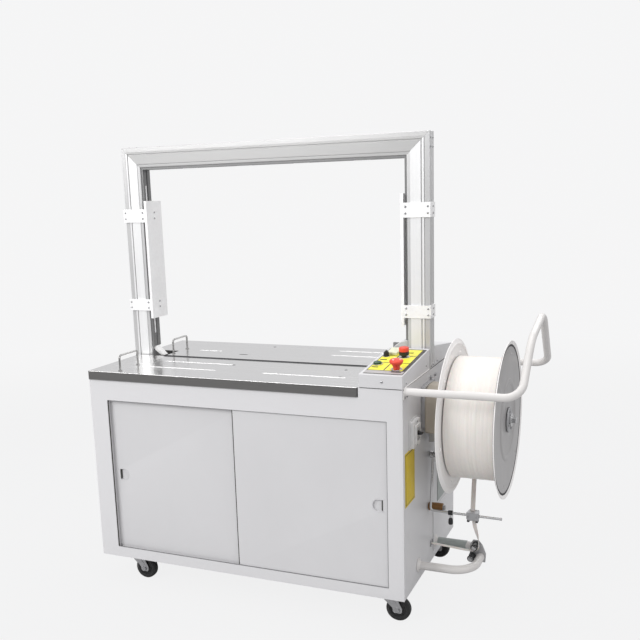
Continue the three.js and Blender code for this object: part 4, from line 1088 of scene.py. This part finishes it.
stop = Shape()
buffer = [(1000.6, 0), (1000.6, 12), (1001.6, 13), (1012, 13), (1013, 12.4), (1014, 13), (1044, 13),
          (1045.8, 11.6), (1046, 0)]
stop.lathe("x", buffer, STOP_AT, 0, 48)
stop.rod("x", 9.6, 1045.6, 1047.2, STOP_AT, 1, 32, 0.3)
stop.hexagon("x", 13, 1047, 1053.4, STOP_AT, 1)
stop.piece("arm_stop", ROOT, ["amber", "bolt"], "brown_rubber")


def strap(name, stations, width, thick):
    """A flat band through stations of (point, direction of its width), smoothed along its length."""
    points = [Vector(p) for p, _ in stations]
    sides = [Vector(s).normalized() for _, s in stations]
    bm = bmesh.new()
    rings = []
    for i in range(len(points) - 1):
        before, after = points[max(i - 1, 0)], points[min(i + 2, len(points) - 1)]
        a, b = points[i], points[i + 1]
        for k in range(6 + (i == len(points) - 2)):
            t = k / 6
            here = 0.5 * ((2 * a) + (b - before) * t + (2 * before - 5 * a + 4 * b - after) * t * t
                          + (3 * a - before - 3 * b + after) * t ** 3)
            rings.append((here, sides[i].lerp(sides[i + 1], t).normalized()))
    bands = []
    for i, (here, across) in enumerate(rings):
        ahead = (rings[min(i + 1, len(rings) - 1)][0] - rings[max(i - 1, 0)][0]).normalized()
        normal = ahead.cross(across).normalized()
        across = normal.cross(ahead).normalized()
        w, h = width / 2, thick / 2
        outline = [(-w, -h * 0.5), (-w + 0.4, -h), (w - 0.4, -h), (w, -h * 0.5),
                   (w, h * 0.5), (w - 0.4, h), (-w + 0.4, h), (-w, h * 0.5)]
        bands.append([bm.verts.new(here + across * u + normal * v) for u, v in outline])
    skin(bm, bands)
    obj = Shape().take(bm).piece(name, None, "strap", "strap")
    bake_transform(obj)


ALONG_X, ALONG_Y = (1, 0, 0), (0, -1, 0)
STRAP_THICK = 1.2
hanging = [(1118, 433.3, 592), (1118, 432, 545), (1119, 418, 490), (1124, 376, 420), (1133, 312, 342),
           (1141, 262, 286)]
turning = [((1144, 262, 268), ALONG_X), ((1148, 260.5, 240), (1, -0.2, 0)), ((1156, 256, 216), (0.8, -0.6, 0)),
           ((1161.6, 252, 195), (0.2, -1, 0)), ((1162.2, 251, 178), ALONG_Y), ((1158.6, 251, 169), ALONG_Y),
           ((1150, 251, 165.6), ALONG_Y), ((1120, 257, 161), ALONG_Y), ((1002, 299, 150), ALONG_Y)]
strap("strap_upper", [(at, ALONG_X) for at in hanging], 14, STRAP_THICK)
strap("strap_lower", turning, 13, STRAP_THICK)
eye = Shape()
eye.prism("x", round_box(286, 314, 140, 161, 5), 1000.2, 1003, 0, 0.8)
eye.subtract(Shape().prism("x", round_box(291, 308, 146, 155, 3), 999, 1006, 0, 0))
eye.piece("strap_entry_plate", ROOT, "zinc_dark", "zinc")

breaker = Shape()
breaker.prism("x", round_box(62, 140, 525, 612, 4), 1000.2, 1003, 0, 0.9)
breaker.prism("x", round_box(66, 136, 529, 608, 3), 1002.6, 1013, 0, 1.6, 3)
breaker.prism("x", round_box(80, 124, 540, 596, 2.5), 1012, 1018, 0, 1.2)
breaker.subtract(Shape().box(1006, 1030, 88, 116, 549, 587, 0, 0))
for z in (534, 603):
    breaker.screw((1013, 102, z), (1, 0, 0), 2.6, 1)
breaker.piece("breaker_body", ROOT, ["white", "bolt"], "white_plastic")
lever = Shape().rod("y", 5, 90, 114, (1013, 568), 0, 28)
blade = [(1011, 564), (1026, 565.6), (1030, 567), (1030.4, 568), (1030, 569.6), (1026, 571), (1011, 572)]
lever.prism("y", blade, 94, 110, 0, 0.7)
lever.piece("breaker_lever", "breaker_toggle", "black", "black_plastic")

# The side plate's darker yellow is partly print, partly painted shade.
plate = Shape()
plate.box(1000.15, 1000.9, 20, 116, 366, 526, 0, 0.25)
plate.box(1000.6, 1001.2, 25, 111, 371, 521, 1, 0.2)
plate.box(1000.8, 1001.5, 27, 109, 373, 519, 0, 0.2)
plate.piece("plain_side_plate", ROOT, ["label", "film_dark"], "panel_yellow")

# ---------------------------------------------------------------- casters
WHEEL_R, TRAIL = 37.5, 26.0


def caster(name, x, y):
    axle_x = x + TRAIL
    fork = Shape()
    cheek = [(axle_x - 10, 27), (axle_x + 10, 27), (axle_x + 14, 32), (axle_x + 14.6, 42), (x + 22, 79.4),
             (x - 22, 79.4), (x - 22, 72), (axle_x - 15, 42), (axle_x - 14, 32)]
    for y0 in (y - 16.4, y + 14):
        fork.prism("y", cheek, y0, y0 + 2.4, 0, 0.8, 2, sharp=25)
    gusset = [(axle_x - 5, 44), (axle_x + 6, 44), (x + 9, 74), (x - 9, 74)]
    for y0 in (y - 17.8, y + 16.2):
        fork.prism("y", gusset, y0, y0 + 1.6, 0, 0.6, 2, sharp=25)
    fork.prism("z", round_box(x - 22, x + 22, y - 16.4, y + 16.4, 7), 77, 80, 0, 0.9)
    race = [(79.8, 0), (79.8, 21), (80.6, 23.4), (81.6, 24), (82.6, 23.4), (83, 21), (83.6, 20), (83.6, 0)]
    fork.lathe("z", race, (x, y), 0, 48)
    fork.rod("y", 4, y - 18, y + 18, (axle_x, WHEEL_R), 1, 24)
    fork.rod("y", 8, y - 17.6, y - 16.2, (axle_x, WHEEL_R), 1, 32, 0.3)
    fork.hexagon("y", 13, y - 22, y - 17.4, (axle_x, WHEEL_R), 1)
    fork.hexagon("y", 13, y + 16.4, y + 21.5, (axle_x, WHEEL_R), 1)
    fork.piece(f"{name}_caster_fork", f"{name}_swivel", ["zinc_dark", "bolt"], "zinc")

    wheel = Shape()
    tread = [(-12, 4.4), (-12, 9), (-11, 10), (-8, 10.6), (-8, 24), (-10.6, 25.6), (-11.6, 27.6), (-11.6, 32),
             (-10.2, 35), (-7.4, 36.9), (-3.4, 37.4), (3.4, 37.4), (7.4, 36.9), (10.2, 35), (11.6, 32),
             (11.6, 27.6), (10.6, 25.6), (8, 24), (8, 10.6), (11, 10), (12, 9), (12, 4.4), (-12, 4.4)]
    wheel.lathe("y", [(y + a, r) for a, r in tread], (axle_x, WHEEL_R), 0, 72)
    for side in (-1, 1):
        for i in range(6):
            centre = polar((axle_x, WHEEL_R), 17, math.pi * i / 3)
            stud = [(y + side * d, r) for d, r in ((7.6, 0), (8.8, 2.6), (9.6, 1.8), (9.8, 0))]
            wheel.lathe("y", stud, centre, 1, 12)
        low, high = sorted((y + side * 7.8, y + side * 10.2))
        wheel.ring("y", 25.6, 23.4, low, high, (axle_x, WHEEL_R), 1, 56, 0.3)
    wheel.piece(f"{name}_caster_wheel", f"{name}_wheel", ["tyre", "black"], "tyre")
    pad = Shape().prism("z", round_box(x - 29.6, x + 29.6, y - 29.6, y + 29.6, 4), 84.2, 87, 0, 0.6)
    for dx in (-21, 21):
        for dy in (-21, 21):
            pad.screw((x + dx, y + dy, 84.2), (0, 0, -1), 3.2, 0, False)
    pad.piece(f"{name}_caster_plate", ROOT, "zinc_dark", "zinc")


for end, y in (("front", 58), ("rear", 532)):
    for side, x in (("left", 58), ("right", 940)):
        caster(f"{end}_{side}", x, y)

# ---------------------------------------------------------------- drive inside the cabinet
SHAFT, MOTOR, FEED, DRIVE_Y = (470, 540), (640, 190), (410, 630), 180.0
cams = Shape()
cams.rod("y", 12, DRIVE_Y - 14, 362, SHAFT, 0, 40)
wheel = [(-10, 12), (-10, 18), (-4, 20), (-4, 52), (-10, 54), (-10, 61), (-9, 62), (-5, 60.4), (5, 60.4),
         (9, 62), (10, 61), (10, 54), (4, 52), (4, 20), (10, 18), (10, 12), (-10, 12)]
cams.lathe("y", [(DRIVE_Y + a, r) for a, r in wheel], SHAFT, 0, 72)
for i in range(4):
    cams.rod("y", 37.8, 228 + i * 28, 244 + i * 28, polar(SHAFT, 8, i * 1.6), 0, 64, 1.2)
cams.piece("cam_shaft", "cams", "bright", "bright_steel")
feed = Shape().rod("y", 6, 202, 362, FEED, 1, 28)
feed.rod("y", 18.8, 262, 312, FEED, 0, 48, 1.6)
for i in range(6):
    feed.ring("y", 19, 18, 266 + i * 7.4, 269 + i * 7.4, FEED, 0, 48, 0.3)
feed.piece("feed_roller", "feed", ["belt", "bright"], "belt")
motor = Shape().rod("y", 54, 214, 400, MOTOR, 0, 60, 4)
for i in range(12):
    motor.ring("y", 61.6, 50, 240 + i * 11, 244 + i * 11, MOTOR, 0, 60, 0.8)
for y0, y1 in ((214, 234), (384, 400)):
    motor.ring("y", 62, 20, y0, y1, MOTOR, 0, 60, 2)
motor.prism("z", round_box(570, 710, 230, 380, 6), 91.6, 101, 0, 1.4)
motor.box(622, 658, 240, 370, 97, 150, 0, 3)
motor.box(606, 674, 262, 330, 236, 274, 0, 3, 3)
for x in (578, 702):
    for y in (240, 370):
        motor.screw((x, y, 101), (0, 0, 1), 4.4, 1, False)
motor.subtract(Shape().lathe("y", [(200, 0), (200, 9.5), (241, 9.5), (241, 0)], MOTOR, 0, 32))
motor.piece("drive_motor", ROOT, ["motor", "bolt"], "motor_paint")
pulley = Shape().rod("y", 9, DRIVE_Y - 12, 236, MOTOR, 0, 32)
grooves = [(-10, 9), (-10, 28), (-9, 30.6), (-7, 31), (-5, 29.4), (5, 29.4), (7, 31), (9, 30.6), (10, 28),
           (10, 9), (-10, 9)]
pulley.lathe("y", [(DRIVE_Y + a, r) for a, r in grooves], MOTOR, 0, 56)
pulley.piece("motor_pulley", "motor_spindle", "bright", "bright_steel")


def belt_outline(big, small):
    across = Vector((MOTOR[0] - SHAFT[0], MOTOR[1] - SHAFT[1]))
    heading = math.degrees(math.atan2(across.y, across.x))
    lean = math.degrees(math.acos((big - small) / across.length))
    return arc(*SHAFT, big, heading + lean, heading + 360 - lean, 36) \
        + arc(*MOTOR, small, heading - lean, heading + lean, 36)


belt = Shape()
BELT_HALF = 7.6
front, rear = DRIVE_Y - BELT_HALF, DRIVE_Y + BELT_HALF
outer, inner = belt_outline(67.2, 36.0), belt_outline(63.6, 32.4)
bm = bmesh.new()
loops = []
for outline, y in ((outer, front), (outer, rear), (inner, rear), (inner, front)):
    loops.append([bm.verts.new((u, y, v)) for u, v in outline])
skin(bm, loops, closed=True, capped=False)
belt.take(bm, 0, 0.6)
belt.piece("drive_belt", ROOT, "belt", "belt")

# ---------------------------------------------------------------- floor, light, camera
BACKDROP = 0.915
FLOOR_NEAR, FLOOR_FAR, FLOOR_GLOW = 2.2, 5.0, 0.93
SEEN_COLOUR = (BACKDROP, BACKDROP, BACKDROP * 1.004, 1)
floor_finish = Finish("studio_floor", Base_Color=(0.5, 0.5, 0.5, 1), Roughness=0.9, Specular_IOR_Level=0.1)
tree = floor_finish.tree
reach = floor_finish.node("ShaderNodeVectorMath", {"operation": "LENGTH"}, Vector=floor_finish.coords)
fade = floor_finish.node(
    "ShaderNodeMapRange", {"interpolation_type": "SMOOTHSTEP"}, Value=reach.outputs["Value"],
    From_Min=FLOOR_NEAR, From_Max=FLOOR_FAR, To_Min=FLOOR_GLOW,
)
seen = floor_finish.node("ShaderNodeLightPath").outputs["Is Camera Ray"]
glow = floor_finish.node("ShaderNodeEmission", Color=SEEN_COLOUR)
blend = floor_finish.node("ShaderNodeMixShader", Fac=floor_finish.maths("MULTIPLY", fade.outputs[0], seen))
tree.links.new(floor_finish.shader.outputs[0], blend.inputs[1])
tree.links.new(glow.outputs[0], blend.inputs[2])
tree.links.new(blend.outputs[0], tree.nodes["Material Output"].inputs["Surface"])
bm = bmesh.new()
bmesh.ops.create_circle(bm, cap_ends=True, segments=96, radius=60)
mesh = bpy.data.meshes.new("studio_floor")
bm.to_mesh(mesh)
bm.free()
mesh.materials.append(floor_finish.material)
floor = bpy.data.objects.new("studio_floor", mesh)
bpy.context.scene.collection.objects.link(floor)
floor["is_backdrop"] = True

world = bpy.data.worlds.new("studio")
bpy.context.scene.world = world
world.use_nodes = True
tree = world.node_tree
sky = tree.nodes["Background"]
sky.inputs["Color"].default_value = (0.985, 0.985, 1.0, 1)
sky.inputs["Strength"].default_value = 0.68
seen = add_node(tree, "ShaderNodeBackground", Color=SEEN_COLOUR)
path = add_node(tree, "ShaderNodeLightPath")
mix = add_node(tree, "ShaderNodeMixShader", Fac=path.outputs["Is Camera Ray"])
tree.links.new(sky.outputs[0], mix.inputs[1])
tree.links.new(seen.outputs[0], mix.inputs[2])
tree.links.new(mix.outputs[0], tree.nodes["World Output"].inputs["Surface"])


def softbox(name, at, aim, size, power):
    light = bpy.data.lights.new(name, "AREA")
    light.shape = "RECTANGLE"
    light.size, light.size_y = size
    light.energy = power
    obj = bpy.data.objects.new(name, light)
    bpy.context.scene.collection.objects.link(obj)
    obj.location = at
    obj.visible_camera = False
    obj.rotation_mode = "QUATERNION"
    obj.rotation_quaternion = (Vector(aim) - Vector(at)).to_track_quat("-Z", "Y")


softbox("key_front_left", (-2.2, -3.4, 3.0), (0, 0, 0.6), (2.8, 2.2), 108)
softbox("top_soft", (0.2, 0.3, 4.0), (0, 0, 0.7), (3.4, 3.0), 60)
softbox("fill_right", (3.6, -1.6, 2.2), (0.2, 0, 0.6), (2.0, 2.0), 17)
softbox("rear_soft", (0.6, 3.8, 3.2), (0, 0, 0.7), (3.0, 2.0), 32)

CAMERA_AT = Vector((1.03717, -2.49068, 1.25523))
YAW, PITCH, ROLL = (math.radians(a) for a in (-23.2193, -11.1890, -1.8068))
camera = bpy.data.cameras.new("camera")
camera.sensor_width = 36.0
camera.lens = 47.955
camera.shift_x = 0.0161
camera.shift_y = 0.0649
ahead = Vector((math.sin(YAW) * math.cos(PITCH), math.cos(YAW) * math.cos(PITCH), math.sin(PITCH)))
level = Vector((math.cos(YAW), -math.sin(YAW), 0))
over = level.cross(ahead)
right = level * math.cos(ROLL) + over * math.sin(ROLL)
up = over * math.cos(ROLL) - level * math.sin(ROLL)
rig = bpy.data.objects.new("camera", camera)
bpy.context.scene.collection.objects.link(rig)
rig.matrix_world = Matrix((
    (right.x, up.x, -ahead.x, CAMERA_AT.x), (right.y, up.y, -ahead.y, CAMERA_AT.y),
    (right.z, up.z, -ahead.z, CAMERA_AT.z), (0, 0, 0, 1),
))
bpy.context.scene.camera = rig
bpy.context.scene.view_settings.view_transform = "Standard"

bpy.context.view_layer.update()
low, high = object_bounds()
